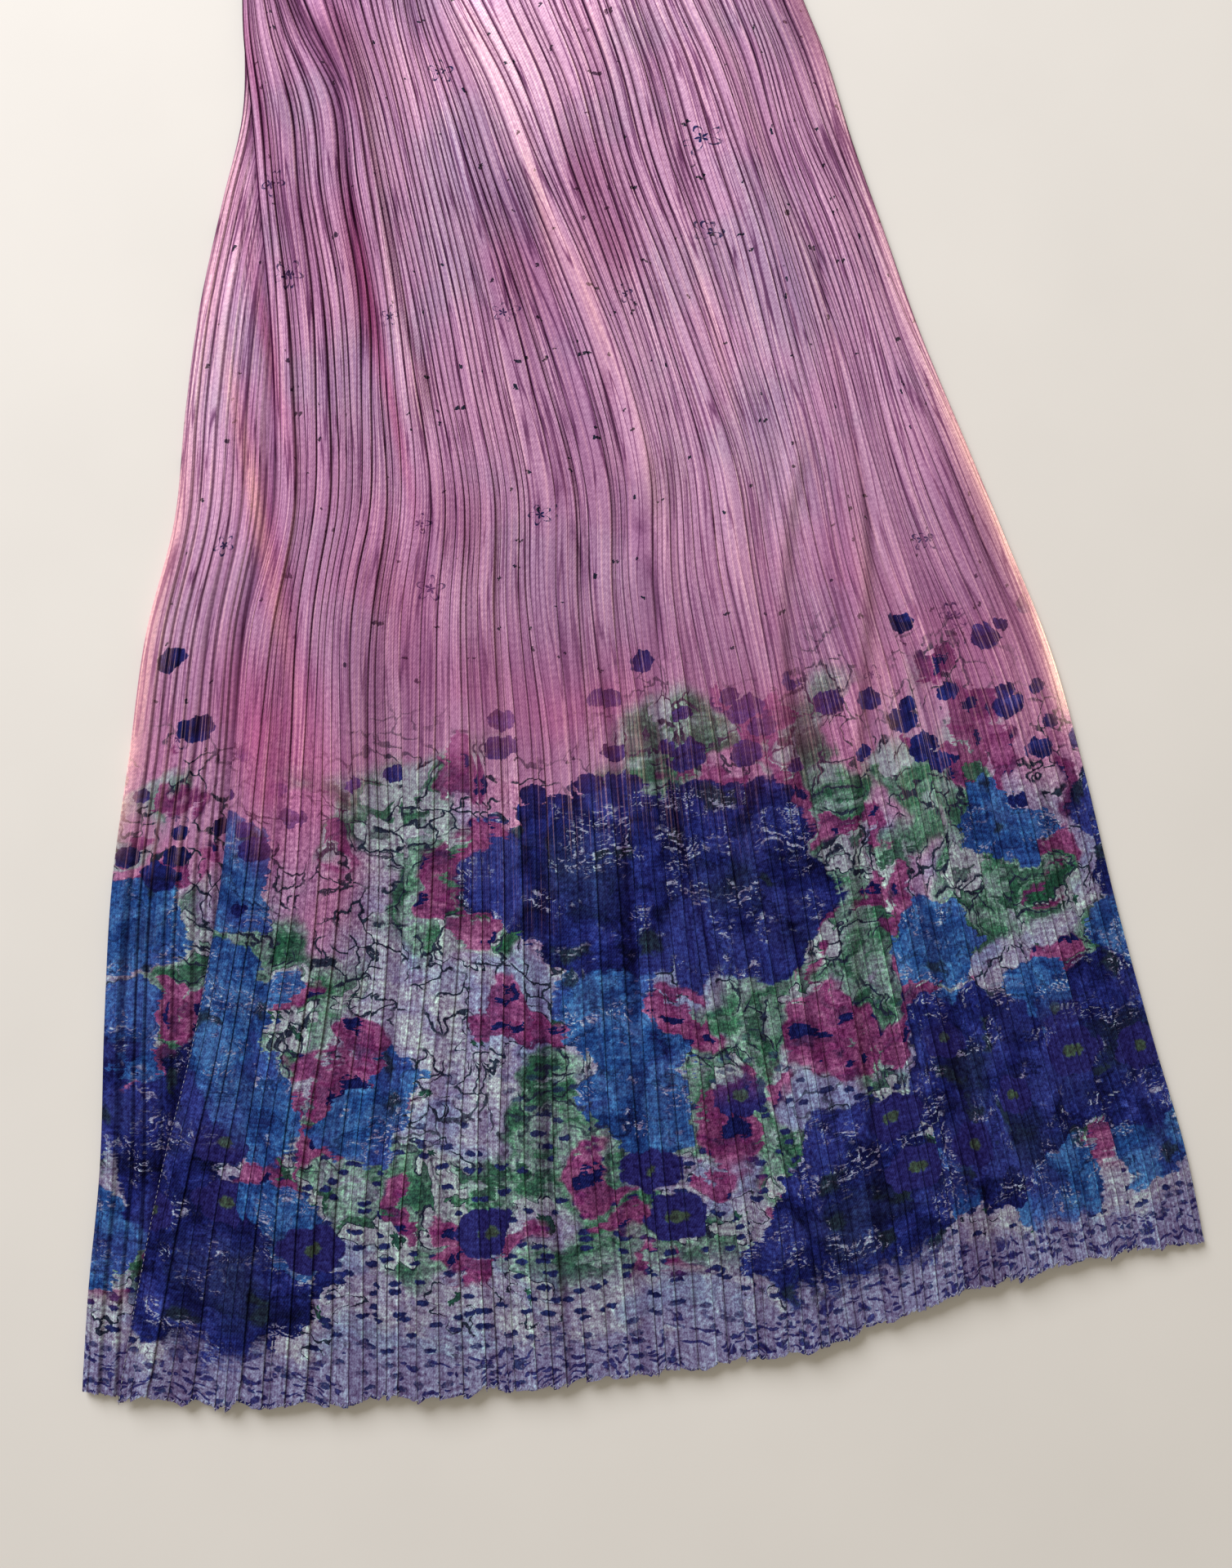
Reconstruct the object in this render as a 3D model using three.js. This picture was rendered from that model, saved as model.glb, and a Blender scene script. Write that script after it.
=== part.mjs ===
import * as THREE from "three";

// A long skirt of sheer cloth in fine knife pleats, lying flat on a table.
// Millimetres. X runs across the skirt, Y from the hem up to the waist, and Z up from the table.
// The back panel lies on the table and turns up round the left side, the front panel lies on it,
// and a flat elastic waistband closes the top.

// Cloth
const wall = 1.5; // of the back, measured straight up
const frontWall = 1.9; // measured straight up too, so about 1.3 across a pleat's steep side
const seamGap = 0.3;
const pleatsAcross = 76; // on each panel
const pleatsOnTurn = 7; // on the part of the back that shows at the left
const riseShare = 0.7; // of a pleat's pitch that climbs gently, before it drops at its fold
const frontRelief = 0.3; // a pleat's height as a share of its pitch
const backRelief = 0.12;
const turnRelief = 0.2;

// Waistband
const waistTop = 411.3;
const bandHeight = 35.8;
const bandWall = 2;
const bandHollow = 0.6;

// Layers, from the table up
const tallestBackPleat = 1;
const tallestTurnPleat = 1.75;
const turnUnder = wall + tallestBackPleat + seamGap; // underside of the turned part
const turnTop = turnUnder + wall;
const turnCurve = turnTop / 2; // radius of the left side's round edge
const innerCurve = (turnUnder - wall) / 2;
const turnSteps = 6;
const frontRest = turnUnder; // lowest underside of the front panel
// The front climbs this far over the turned part.
const lapHeight = turnTop + tallestTurnPleat + seamGap - frontRest;
const lapTuck = 7; // the turned part runs this far under the front
const lapLevel = 13; // it stays up this far from its edge, and comes down over the next stretch
const lapSlope = 20;

// Hem
const hemRise = 18; // the right end of the hem lies this much nearer the waist
const liftStart = 0.72; // share of the length where the hem starts to lift

// Where the outline and the side seam cross each row, from the waistband to the hem.
const sections = [
  { y: 375.2, left: -142.5, seam: -140.5, right: 155.5 },
  { y: 340, left: -144.5, seam: -143.5, right: 160.5 },
  { y: 300, left: -149.5, seam: -143.5, right: 171.5 },
  { y: 250, left: -166.5, seam: -144.5, right: 181.5 },
  { y: 195, left: -184.5, seam: -145, right: 194.5 },
  { y: 140, left: -198, seam: -148, right: 207.5 },
  { y: 80, left: -210.5, seam: -155, right: 225 },
  { y: 20, left: -232.5, seam: -176.5, right: 242.5 },
  { y: -45, left: -248.5, seam: -190, right: 260.5 },
  { y: -115, left: -265.5, seam: -204.5, right: 272 },
  { y: -190, left: -277.5, seam: -226, right: 281.5 },
  { y: -270, left: -288.5, seam: -254, right: 294 },
  { y: -340, left: -302.5, seam: -275.5, right: 306 },
  { y: -388.5, left: -310.5, seam: -289.5, right: 310.5 },
];

// The back lies flat, so every second row is enough for it.
const backSections = sections.filter(
  (section, index) => index % 2 === 0 || index === sections.length - 1,
);

// How far the hem hangs below a straight line between its ends, and how far it lifts off.
const hemShape = [
  { across: 0, drop: 0, lift: 0 },
  { across: 0.05, drop: 8, lift: 1 },
  { across: 0.15, drop: 20, lift: 3 },
  { across: 0.24, drop: 25, lift: 2 },
  { across: 0.31, drop: 27, lift: 6 },
  { across: 0.35, drop: 28, lift: 3 },
  { across: 0.4, drop: 30, lift: 5 },
  { across: 0.5, drop: 31, lift: 2 },
  { across: 0.6, drop: 30, lift: 3 },
  { across: 0.65, drop: 28, lift: 6 },
  { across: 0.71, drop: 20, lift: 3 },
  { across: 0.81, drop: 7, lift: 6 },
  { across: 0.88, drop: 2, lift: 3 },
  { across: 1, drop: 0, lift: 0 },
];

// The largest folds of the front panel, each along its own line. A height below zero is a trough.
const folds = [
  {
    name: "upper left lap",
    height: 6,
    leftWidth: 15,
    rightWidth: 5,
    line: [
      { y: 378, x: -104 },
      { y: 357, x: -98 },
      { y: 325, x: -88 },
      { y: 270, x: -83 },
      { y: 231, x: -80 },
      { y: 186, x: -77 },
      { y: 147, x: -68 },
    ],
  },
  {
    name: "upper left trough",
    height: -4.5,
    leftWidth: 9,
    rightWidth: 7,
    line: [
      { y: 378, x: -130 },
      { y: 357, x: -119 },
      { y: 314, x: -98 },
      { y: 236, x: -94 },
      { y: 176, x: -89 },
    ],
  },
  {
    name: "centre ridge",
    height: 6,
    leftWidth: 7,
    rightWidth: 18,
    line: [
      { y: 378, x: -37 },
      { y: 346, x: -24 },
      { y: 282, x: -3 },
      { y: 236, x: 8 },
      { y: 196, x: 22 },
      { y: 171, x: 31 },
      { y: 130, x: 43 },
      { y: 90, x: 50 },
    ],
  },
  {
    name: "centre trough",
    height: -4.5,
    leftWidth: 14,
    rightWidth: 7,
    line: [
      { y: 378, x: -56 },
      { y: 324, x: -38 },
      { y: 251, x: -8 },
      { y: 192, x: 4 },
      { y: 121, x: 18 },
      { y: 60, x: 34 },
    ],
  },
  {
    name: "right rolled fold",
    height: 5,
    leftWidth: 7,
    rightWidth: 6,
    line: [
      { y: 375, x: 93 },
      { y: 308, x: 114 },
      { y: 243, x: 130 },
      { y: 183, x: 148 },
      { y: 110, x: 160 },
      { y: 40, x: 163 },
      { y: -31, x: 155 },
      { y: -120, x: 141 },
      { y: -232, x: 130 },
      { y: -330, x: 130 },
    ],
  },
  {
    name: "small right fold",
    height: 3,
    leftWidth: 6,
    rightWidth: 5,
    line: [
      { y: 80, x: 133 },
      { y: 45, x: 123 },
      { y: -8, x: 114 },
      { y: -71, x: 111 },
    ],
  },
  {
    name: "right side swell",
    height: 4,
    leftWidth: 18,
    rightWidth: 12,
    line: [
      { y: 340, x: 140 },
      { y: 200, x: 170 },
      { y: 60, x: 212 },
      { y: -150, x: 240 },
    ],
  },
  {
    name: "left side swell",
    height: 3,
    leftWidth: 22,
    rightWidth: 22,
    line: [
      { y: 40, x: -110 },
      { y: -120, x: -150 },
      { y: -300, x: -190 },
    ],
  },
];
const foldFade = 40; // a fold runs out over this length past its ends
const loft = 4; // the front lies this loosely on the back, away from its sides
const loftSide = 30;
const gatherLength = 45; // the front comes down to the waistband over this length

const clamp = THREE.MathUtils.clamp;
const smooth = THREE.MathUtils.smoothstep;

/** The value of one column of a table at a place along another, straight between rows. */
function lookUp(table, key, column, place) {
  const rising = table[0][key] < table[table.length - 1][key];
  const rows = rising ? table : [...table].reverse();
  const at = clamp(place, rows[0][key], rows[rows.length - 1][key]);
  const next = Math.max(1, rows.findIndex((row) => row[key] >= at));
  const share = (at - rows[next - 1][key]) / (rows[next][key] - rows[next - 1][key]);
  return THREE.MathUtils.lerp(rows[next - 1][column], rows[next][column], share);
}

/** Share of the length from the waistband down to a section. */
function shareDown(section) {
  const top = sections[0].y;
  return (top - section.y) / (top - sections[sections.length - 1].y);
}

/** Y of a point of a section: straight at the waist, and curved as the hem is lower down. */
function levelAt(section, x) {
  const across = clamp((x - section.left) / (section.right - section.left), 0, 1);
  const bend = shareDown(section) ** 2;
  return section.y + bend * (hemRise * across - lookUp(hemShape, "across", "drop", across));
}

/** A knife pleat from 0 at its valley to 1 at its fold, by the phase within the pleat. */
function pleatShape(phase) {
  return phase < riseShare ? phase / riseShare : (1 - phase) / (1 - riseShare);
}

/** Phases of the columns across a row of pleats, two columns to a pleat. */
function pleatColumns(count) {
  const columns = [];
  for (let pleat = 0; pleat < count; pleat += 1) {
    columns.push({ across: pleat / count, shape: pleatShape(0) });
    columns.push({ across: (pleat + riseShare) / count, shape: pleatShape(riseShare) });
  }
  columns.push({ across: 1, shape: 0 });
  return columns;
}

/** Height of one fold over a point: highest on its line, and soft to each side. */
function foldHeight(fold, x, y) {
  const top = fold.line[0].y;
  const end = fold.line[fold.line.length - 1].y;
  const past = Math.max(y - top, end - y, 0);
  const offset = x - lookUp(fold.line, "y", "x", y);
  const width = offset < 0 ? fold.leftWidth : fold.rightWidth;
  return fold.height * Math.exp(-((offset / width) ** 2)) * (1 - smooth(past, 0, foldFade));
}

/** How far the front panel's valleys lie above their lowest level. */
function frontSwell(section, x, y) {
  const fromSeam = x - section.seam;
  const lap = lapHeight * (1 - smooth(fromSeam, lapLevel, lapLevel + lapSlope));
  const inside =
    smooth(fromSeam, lapTuck, lapTuck + loftSide) *
    smooth(section.right - x, 0, loftSide) *
    smooth(sections[0].y - y, 0, gatherLength);
  const folded = folds.reduce((sum, fold) => sum + foldHeight(fold, x, y), loft);
  const across = (x - section.left) / (section.right - section.left);
  const lifting = smooth(shareDown(section), liftStart, 1);
  const lift = lookUp(hemShape, "across", "lift", across) * lifting;
  return lap + inside * Math.max(folded + lift, 0);
}

/** A closed wall between two grids of points, given as rows of [x, y, z]. */
function wallBetween(outer, inner) {
  const rows = outer.length;
  const columns = outer[0].length;
  const places = [...outer, ...inner].flat(2);
  const faces = [];
  const outerAt = (row, column) => row * columns + column;
  const innerAt = (row, column) => (rows + row) * columns + column;
  const quad = (a, b, c, d) => faces.push(a, b, c, a, c, d);
  for (let row = 0; row < rows - 1; row += 1) {
    for (let column = 0; column < columns - 1; column += 1) {
      quad(
        outerAt(row, column),
        outerAt(row + 1, column),
        outerAt(row + 1, column + 1),
        outerAt(row, column + 1),
      );
      quad(
        innerAt(row, column),
        innerAt(row, column + 1),
        innerAt(row + 1, column + 1),
        innerAt(row + 1, column),
      );
    }
  }
  const last = columns - 1;
  const end = rows - 1;
  for (let column = 0; column < last; column += 1) {
    quad(outerAt(0, column), outerAt(0, column + 1), innerAt(0, column + 1), innerAt(0, column));
    quad(
      outerAt(end, column + 1),
      outerAt(end, column),
      innerAt(end, column),
      innerAt(end, column + 1),
    );
  }
  for (let row = 0; row < end; row += 1) {
    quad(outerAt(row + 1, 0), outerAt(row, 0), innerAt(row, 0), innerAt(row + 1, 0));
    quad(
      outerAt(row, last),
      outerAt(row + 1, last),
      innerAt(row + 1, last),
      innerAt(row, last),
    );
  }
  const geometry = new THREE.BufferGeometry();
  geometry.setAttribute("position", new THREE.Float32BufferAttribute(places, 3));
  geometry.setIndex(faces);
  geometry.computeVertexNormals();
  return geometry;
}

/** The front panel, from the side seam at the left to the right side. */
function frontGeometry() {
  const columns = pleatColumns(pleatsAcross);
  const under = sections.map((section) => {
    const width = section.right - section.seam;
    const relief = (frontRelief * width) / pleatsAcross;
    return columns.map(({ across, shape }) => {
      const x = section.seam + width * across;
      const y = levelAt(section, x);
      return [x, y, frontRest + relief * shape + frontSwell(section, x, y)];
    });
  });
  const over = under.map((row) => row.map(([x, y, z]) => [x, y, z + frontWall]));
  return wallBetween(over, under);
}

/** The back panel, from the right side under the front and up round the left side to the seam. */
function backGeometry() {
  const lying = pleatColumns(pleatsAcross).reverse();
  const turned = pleatColumns(pleatsOnTurn);
  const outer = [];
  const inner = [];
  for (const section of backSections) {
    const outerRow = [];
    const innerRow = [];
    const add = (x, z, innerX, innerZ) => {
      const y = levelAt(section, x);
      outerRow.push([x, y, z]);
      innerRow.push([innerX, y, innerZ]);
    };
    const start = section.left + turnCurve;
    const width = section.right - start;
    const relief = (backRelief * width) / pleatsAcross;
    for (const { across, shape } of lying) {
      const x = start + width * across;
      add(x, 0, x, wall + relief * shape);
    }
    for (let step = 1; step < turnSteps; step += 1) {
      const angle = (Math.PI * step) / turnSteps;
      const out = Math.sin(angle);
      const up = Math.cos(angle);
      add(
        start - turnCurve * out,
        turnCurve * (1 - up),
        start - innerCurve * out,
        turnCurve - innerCurve * up,
      );
    }
    const turnWidth = section.seam + lapTuck - start;
    const turnHeight = (turnRelief * turnWidth) / pleatsOnTurn;
    for (const { across, shape } of turned) {
      const x = start + turnWidth * across;
      const lifted = turnHeight * shape;
      add(x, turnTop + lifted, x, turnUnder + lifted);
    }
    outer.push(outerRow);
    inner.push(innerRow);
  }
  return wallBetween(outer, inner);
}

/** The outline of a long slot with round ends, as a path for a shape or its hole. */
function slotPath(path, left, right, middle, radius) {
  path.absarc(right - radius, middle, radius, -Math.PI / 2, Math.PI / 2, false);
  path.absarc(left + radius, middle, radius, Math.PI / 2, (3 * Math.PI) / 2, false);
  path.closePath();
  return path;
}

/** The waistband: a flattened tube of cloth over its elastic, open at both edges. */
function bandGeometry() {
  const { left, right } = sections[0];
  const radius = bandWall + bandHollow / 2;
  const outline = slotPath(new THREE.Shape(), left, right, radius, radius);
  const hollow = slotPath(
    new THREE.Path(),
    left + bandWall,
    right - bandWall,
    radius,
    bandHollow / 2,
  );
  outline.holes.push(hollow);
  const geometry = new THREE.ExtrudeGeometry(outline, {
    depth: bandHeight,
    bevelEnabled: false,
    curveSegments: 8,
  });
  geometry.rotateX(Math.PI / 2);
  geometry.translate(0, waistTop, 0);
  return geometry;
}

function piece(name, geometry, color) {
  const material = new THREE.MeshStandardMaterial({ color, roughness: 0.8, metalness: 0 });
  const mesh = new THREE.Mesh(geometry, material);
  mesh.name = name;
  return mesh;
}

const skirt = new THREE.Group();
skirt.name = "pleated_skirt";
skirt.add(piece("back_panel", backGeometry(), "#a98ba6"));
skirt.add(piece("front_panel", frontGeometry(), "#b795b3"));
skirt.add(piece("waistband", bandGeometry(), "#9f8299"));

export default skirt;
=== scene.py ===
import math
import bpy
import numpy as np
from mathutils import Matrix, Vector


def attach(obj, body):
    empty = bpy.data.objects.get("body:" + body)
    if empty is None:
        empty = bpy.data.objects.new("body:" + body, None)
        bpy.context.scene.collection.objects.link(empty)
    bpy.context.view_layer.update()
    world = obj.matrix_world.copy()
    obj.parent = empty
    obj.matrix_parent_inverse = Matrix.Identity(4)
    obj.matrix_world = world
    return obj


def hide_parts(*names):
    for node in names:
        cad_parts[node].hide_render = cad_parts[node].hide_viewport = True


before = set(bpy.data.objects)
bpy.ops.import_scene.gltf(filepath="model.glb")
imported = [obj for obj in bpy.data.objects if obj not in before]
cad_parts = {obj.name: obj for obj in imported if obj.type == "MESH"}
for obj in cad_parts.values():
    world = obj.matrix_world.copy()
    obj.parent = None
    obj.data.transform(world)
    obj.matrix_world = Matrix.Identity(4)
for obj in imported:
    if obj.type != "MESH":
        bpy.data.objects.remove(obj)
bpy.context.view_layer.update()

# A sheer skirt in fine knife pleats, laid flat. Its shape is worked out in millimetres,
# with X across, Y towards the waist and Z up, and each mesh is then made in metres.
mm = 0.001

# Where the outline and the side seam cross each row, from the waistband to the hem
outline = {
    "y": [375.2, 340, 300, 250, 195, 140, 80, 20, -45, -115, -190, -270, -340, -388.5],
    "left": [-142.5, -144.5, -149.5, -166.5, -184.5, -198, -210.5, -232.5, -248.5, -265.5,
             -277.5, -288.5, -302.5, -310.5],
    "seam": [-140.5, -143.5, -143.5, -144.5, -145, -148, -155, -176.5, -190, -204.5,
             -226, -254, -275.5, -289.5],
    "right": [155.5, 160.5, 171.5, 181.5, 194.5, 207.5, 225, 242.5, 260.5, 272,
              281.5, 294, 306, 310.5],
}
hem = {
    "across": [0, 0.05, 0.15, 0.24, 0.31, 0.35, 0.4, 0.5, 0.6, 0.65, 0.71, 0.81, 0.88, 1],
    "drop": [0, 8, 20, 25, 27, 28, 30, 31, 30, 28, 20, 7, 2, 0],
    "lift": [0, 1, 3, 2, 6, 3, 5, 2, 3, 6, 3, 6, 3, 0],
    "rise": 18,          # the right end lies this much nearer the waist
    "liftStart": 0.72,   # share of the length where it starts to lift
    "fray": 0.7,         # the cut edge is this ragged
    "step": 3.4,         # each pleat's edge slants by this much, so the hem is toothed
    "scallop": 2.2,      # and the edge also comes and goes by this much
    "sag": 0.5,          # share of its lift that the cloth loses again at its very edge
    "sagStart": 0.88,
    "leastTooth": 0.4,
    "scallopLong": 8,
}
layers = {
    "rest": 2.9,         # lowest level of the front panel
    "turnTop": 4.4,      # top of the part of the back that turns up at the left
    "turnUnder": 0.25,   # the back panel's cloth above the table
    "lap": 3.6,          # the front climbs this far over the turned part
    "lapLevel": 13,
    "lapSlope": 20,
    "tuck": 6.5,
    "loft": 4,
    "loftSide": 30,
    "gather": 45,
}
topY = outline["y"][0]
hemY = outline["y"][-1]


def softStep(value, low, high):
    share = np.clip((value - low) / (high - low), 0, 1)
    return share * share * (3 - 2 * share)


# A curve through a table's points, whose slope at each point comes from its neighbours
def curveThrough(places, values, at):
    places = np.asarray(places, float)
    values = np.asarray(values, float)
    slopes = np.gradient(values, places)
    at = np.clip(at, places[0], places[-1])
    index = np.clip(np.searchsorted(places, at, side="right") - 1, 0, len(places) - 2)
    span = places[index + 1] - places[index]
    t = (at - places[index]) / span
    start = (1 + 2 * t) * (1 - t) ** 2 * values[index] + t * (1 - t) ** 2 * span * slopes[index]
    end = t * t * (3 - 2 * t) * values[index + 1] + t * t * (t - 1) * span * slopes[index + 1]
    return start + end


# X of a line given as lists of Y, downwards, and X
def lineAt(line, y):
    return curveThrough([-place for place in line["y"]], line["x"], -np.asarray(y, float))


def outlineAt(side, y):
    return lineAt({"y": outline["y"], "x": outline[side]}, y)


# Soft unevenness from -1 to 1, with one random value for each cell of the cloth
def uneven(seed, x, y, cellX, cellY):
    size = 128
    grid = np.random.default_rng(seed).uniform(-1, 1, (size, size))
    acrossCells = np.asarray(x / cellX + size / 2)
    alongCells = np.asarray(y / cellY + size / 2)
    column = np.floor(acrossCells).astype(int)
    row = np.floor(alongCells).astype(int)
    a = softStep(acrossCells - column, 0, 1)
    b = softStep(alongCells - row, 0, 1)
    near = grid[row % size, column % size] * (1 - a) + grid[row % size, (column + 1) % size] * a
    far = (grid[(row + 1) % size, column % size] * (1 - a)
           + grid[(row + 1) % size, (column + 1) % size] * a)
    return near * (1 - b) + far * b


# Y of a point of the cloth whose row crosses the outline at a level
def rowLevel(level, x):
    left, right = outlineAt("left", level), outlineAt("right", level)
    across = np.clip((x - left) / (right - left), 0, 1)
    bend = ((topY - level) / (topY - hemY)) ** 2
    return level + bend * (hem["rise"] * across - curveThrough(hem["across"], hem["drop"], across))


# The front panel's main folds, each along its own line. A height below zero is a trough, and
# the last number is how much salmon highlight is painted along the fold's ridge.
mainFolds = [
    {"name": "upper left lap", "height": 6, "left": 15, "right": 4, "ridgeHighlight": 0.1,
     "y": [378, 357, 325, 270, 231, 186, 147], "x": [-104, -98, -88, -83, -80, -77, -68]},
    {"name": "upper left trough", "height": -4.5, "left": 9, "right": 7, "ridgeHighlight": 0,
     "y": [378, 357, 314, 236, 176], "x": [-130, -119, -98, -94, -89]},
    {"name": "centre ridge", "height": 6, "left": 6, "right": 18, "ridgeHighlight": 0.2,
     "y": [378, 346, 282, 236, 196, 171, 130, 90], "x": [-37, -24, -3, 8, 22, 31, 43, 50]},
    {"name": "centre trough", "height": -4.5, "left": 14, "right": 7, "ridgeHighlight": 0,
     "y": [378, 324, 251, 192, 121, 60], "x": [-56, -38, -8, 4, 18, 34]},
    {"name": "right rolled fold", "height": 3.5, "left": 7, "right": 4, "ridgeHighlight": 0.12,
     "y": [375, 308, 243, 183, 110, 40, -31, -120, -232, -330],
     "x": [93, 114, 130, 148, 160, 163, 155, 141, 130, 130]},
    {"name": "small right fold", "height": 3, "left": 6, "right": 4, "ridgeHighlight": 0.12,
     "y": [80, 45, -8, -71], "x": [133, 123, 114, 111]},
    {"name": "right side swell", "height": 4, "left": 18, "right": 12, "ridgeHighlight": 0,
     "y": [340, 200, 60, -150], "x": [140, 170, 212, 240]},
    {"name": "left side swell", "height": 3, "left": 22, "right": 22, "ridgeHighlight": 0,
     "y": [40, -120, -300], "x": [-110, -150, -190]},
]
foldFade = 40

# Deep narrow creases, pressed between pleats, with painted shade: a sharp dark line and a soft
# shadow on its left
creases = {
    "lines": [
        {"y": [351, 327, 304, 264, 233], "x": [-113, -101, -96, -95, -94], "depth": 0.9},
        {"y": [355, 326, 289, 243, 214], "x": [-95, -88, -86, -81, -82], "depth": 0.7},
        {"y": [167, 131, 93, 35], "x": [-9, -4, 2, 10], "depth": 0.9},
        {"y": [93, 66, 38], "x": [10, 13, 14], "depth": 0.7},
        {"y": [-40, -110, -200], "x": [17, 17, 15], "depth": 1.0},
        {"y": [-70, -130, -200], "x": [43, 49, 60], "depth": 1.0},
        {"y": [-175, -220, -268], "x": [102, 108, 117], "depth": 0.9},
        {"y": [-170, -222, -288, -390], "x": [-39, -38, -42, -40], "depth": 0.9},
        {"y": [-180, -252, -330], "x": [-8.5, -8, -11], "depth": 0.9},
        {"y": [40, -30, -90], "x": [50, 45, 38], "depth": 0.7},
        {"y": [120, 60, 0], "x": [33, 42, 50], "depth": 0.9},
        {"y": [180, 110, 40], "x": [156, 161, 168], "depth": 0.8},
        {"y": [300, 230, 160], "x": [76, 90, 104], "depth": 0.7},
        {"y": [60, -10, -70], "x": [-104, -112, -118], "depth": 0.6},
        {"y": [330, 270, 200], "x": [-122, -120, -119], "depth": 0.6},
        {"y": [-250, -310, -385], "x": [182, 190, 199], "depth": 0.6},
        {"y": [-230, -300, -380], "x": [-118, -127, -136], "depth": 0.6},
        {"y": [-140, -200, -250], "x": [-196, -214, -226], "depth": 0.5},
    ],
    "width": 1.5, "shadow": 7, "fade": 34, "drop": 1.7, "sharp": 0.75, "soft": 0.3,
}

# Soft washes, laid one by one: each is X, Y, its half width across, its half length and
# how much there is. The darker washes are painted shade and the lighter ones painted highlight,
# rose is the dye's own colour, and salmon is a highlight painted along the edges of folds.
washes = {
    "shadeWash": [
        (33, 247, 12, 26, 0.8), (45, 205, 12, 24, 0.8), (-56, 64, 16, 30, 0.7),
        (160, 320, 16, 34, 0.8), (-92, 332, 12, 26, 0.7), (-12, 200, 14, 40, 0.5),
        (222, 30, 24, 70, 0.6), (120, -70, 22, 30, 0.3), (152, 20, 12, 70, 0.45),
        (-120, 60, 26, 60, 0.35), (-122, 190, 26, 80, 0.3), (-60, -20, 40, 30, 0.35),
    ],
    "highlightWash": [
        (-16, 312, 44, 62, 1.4), (40, 330, 30, 46, 0.7), (96, 352, 30, 40, 0.4),
        (78, 90, 30, 60, 0.35), (-30, 120, 26, 50, 0.2),
    ],
    "rose": [
        (-176, -52, 17, 62, 0.85), (-148, -62, 24, 56, 0.6), (-160, 66, 9, 85, 0.75),
        (-148, 168, 5, 60, 0.8), (-82, 112, 4, 50, 0.7), (-92, 212, 4, 50, 0.7),
        (-94, 190, 5, 50, 0.7), (-141, 320, 4, 60, 0.6), (-8, -48, 55, 26, 0.45),
        (96, -60, 34, 34, 0.35), (44, 330, 26, 60, 0.25), (-92, 40, 16, 70, 0.3),
    ],
    "salmon": [
        (-163, 72, 4, 80, 0.75), (8, 222, 4, 40, 0.55), (30, 168, 4, 46, 0.5),
        (54, 60, 4, 60, 0.15), (159, 20, 4, 90, 0.2), (-70, 120, 4, 60, 0.25),
        (96, 140, 6, 80, 0.25),
    ],
}
washLean = 0.10    # washes lean with the fan of the pleats
washMost = 1.4

# Pleats. Each has the same number of columns: a share of its pitch, and a height from 0 to 1.
pleats = {
    "count": 76,
    # near the waist, a nearly flat strip between two sharp valleys
    "rollPlace": [0.0, 0.0, 0.0, 0.06, 0.5, 0.94, 1.0, 1.0, 1.0, 1.0],
    "valleyPlace": [0.0, 0.45, 1.0, 1.0, 0.0, -1.0, -1.0, -0.7, -0.45, -0.2],
    "rollHeight": [0.0, 0.7, 0.95, 1.0, 1.0, 1.0, 0.96, 0.86, 0.6, 0.22],
    "valleyReach": 0.95,    # a valley's side takes this much, or the share below of a narrow pleat
    "valleyShare": 0.22,
    "waistOpen": 1.5,       # valleys are this much wider at the waist, and less over these shares
    "openUntil": (0.1, 0.4),
    # pressed flat near the hem, with the fold just over the next pleat
    "knifePlace": [0.0, 0.05, 0.2, 0.4, 0.6, 0.78, 0.91, 1.0, 1.035, 1.015],
    "knifeHeight": [0.04, 0.2, 0.42, 0.6, 0.78, 0.92, 1.0, 0.97, 0.6, 0.22],
    # painted shade along each pleat's valley, column by column
    "valleyShadeMark": [1.0, 0.6, 0.05, 0, 0, 0, 0, 0.05, 0.45, 0.95],
    # painted highlight along each pleat's fold, column by column
    "crestHighlightMark": [0, 0, 0, 0, 0, 0.05, 0.55, 1.0, 0.3, 0],
    "rollUntil": 0.40,     # share of the length where the rolls start to flatten
    "knifeFrom": 0.60,
    "topRelief": 1.8,
    "hemRelief": 0.85,
    "topVaries": (0.45, 0.9),   # the least share of the relief, and how much chance adds
    "hemVaries": (0.3, 1.3),
    "fullPitch": 7,        # narrower pleats are lower
    "narrow": 0.42,        # the narrowest pleat near the waist, and how much wider others are
    "wide": 2.5,
    "hemUneven": 0.55,
    "leastPitch": 0.22,    # what shows of a pleat that lies hidden under a fold
    # how far the folds move some pleats across, at the levels given, from where an even fan of
    # pleats would have them; the pleats between two that come close lie hidden under a fold
    "levels": [375, 340, 300, 250, 195, 140, 80, 20, -45, -110, -190, -270, -388],
    "moved": {
        0.0: [0, 0, 0, 0, 0, 0, 0, 0, 0, 0, 0, 0, 0],
        0.155: [-26, -14, 0, 0, 3, 1, 0, 3, 2, 3, 5, 9, 15],
        0.2: [-18, -10, -5, -2, 0, 2, 4, 5, 4, 5, 8, 13, 20],
        0.34: [-16, -13, -10, -5, 0, 4, 8, 9, 9, 10, 14, 21, 31],
        0.472: [-36, -25, -15, -6, 4, 14, 17, 15, 14, 15, 21, 30, 41],
        0.627: [-6, -2, 0, 1, 6, 11, 15, 15, 15, 17, 25, 33, 42],
        0.71: [2, 4, 7, 9, 12, 14, 15, 15, 15, 17, 23, 30, 38],
        0.76: [5, 10, 13, 16, 18, 18, 16, 13, 12, 13, 17, 23, 31],
        0.83: [-5, 0, 2, 4, 7, 8, 4, 4, 5, 6, 9, 13, 18],
        0.93: [-3, -2, 0, 0, 2, 2, 0, 0, 1, 2, 3, 5, 7],
        1.0: [0, 0, 0, 0, 0, 0, 0, 0, 0, 0, 0, 0, 0],
    },
    "smoothOver": 6,       # pleats on each side over which their widths even out
    "printSlip": 2.2,      # the print steps by about this much from pleat to pleat
    "seed": 11,
}
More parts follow.
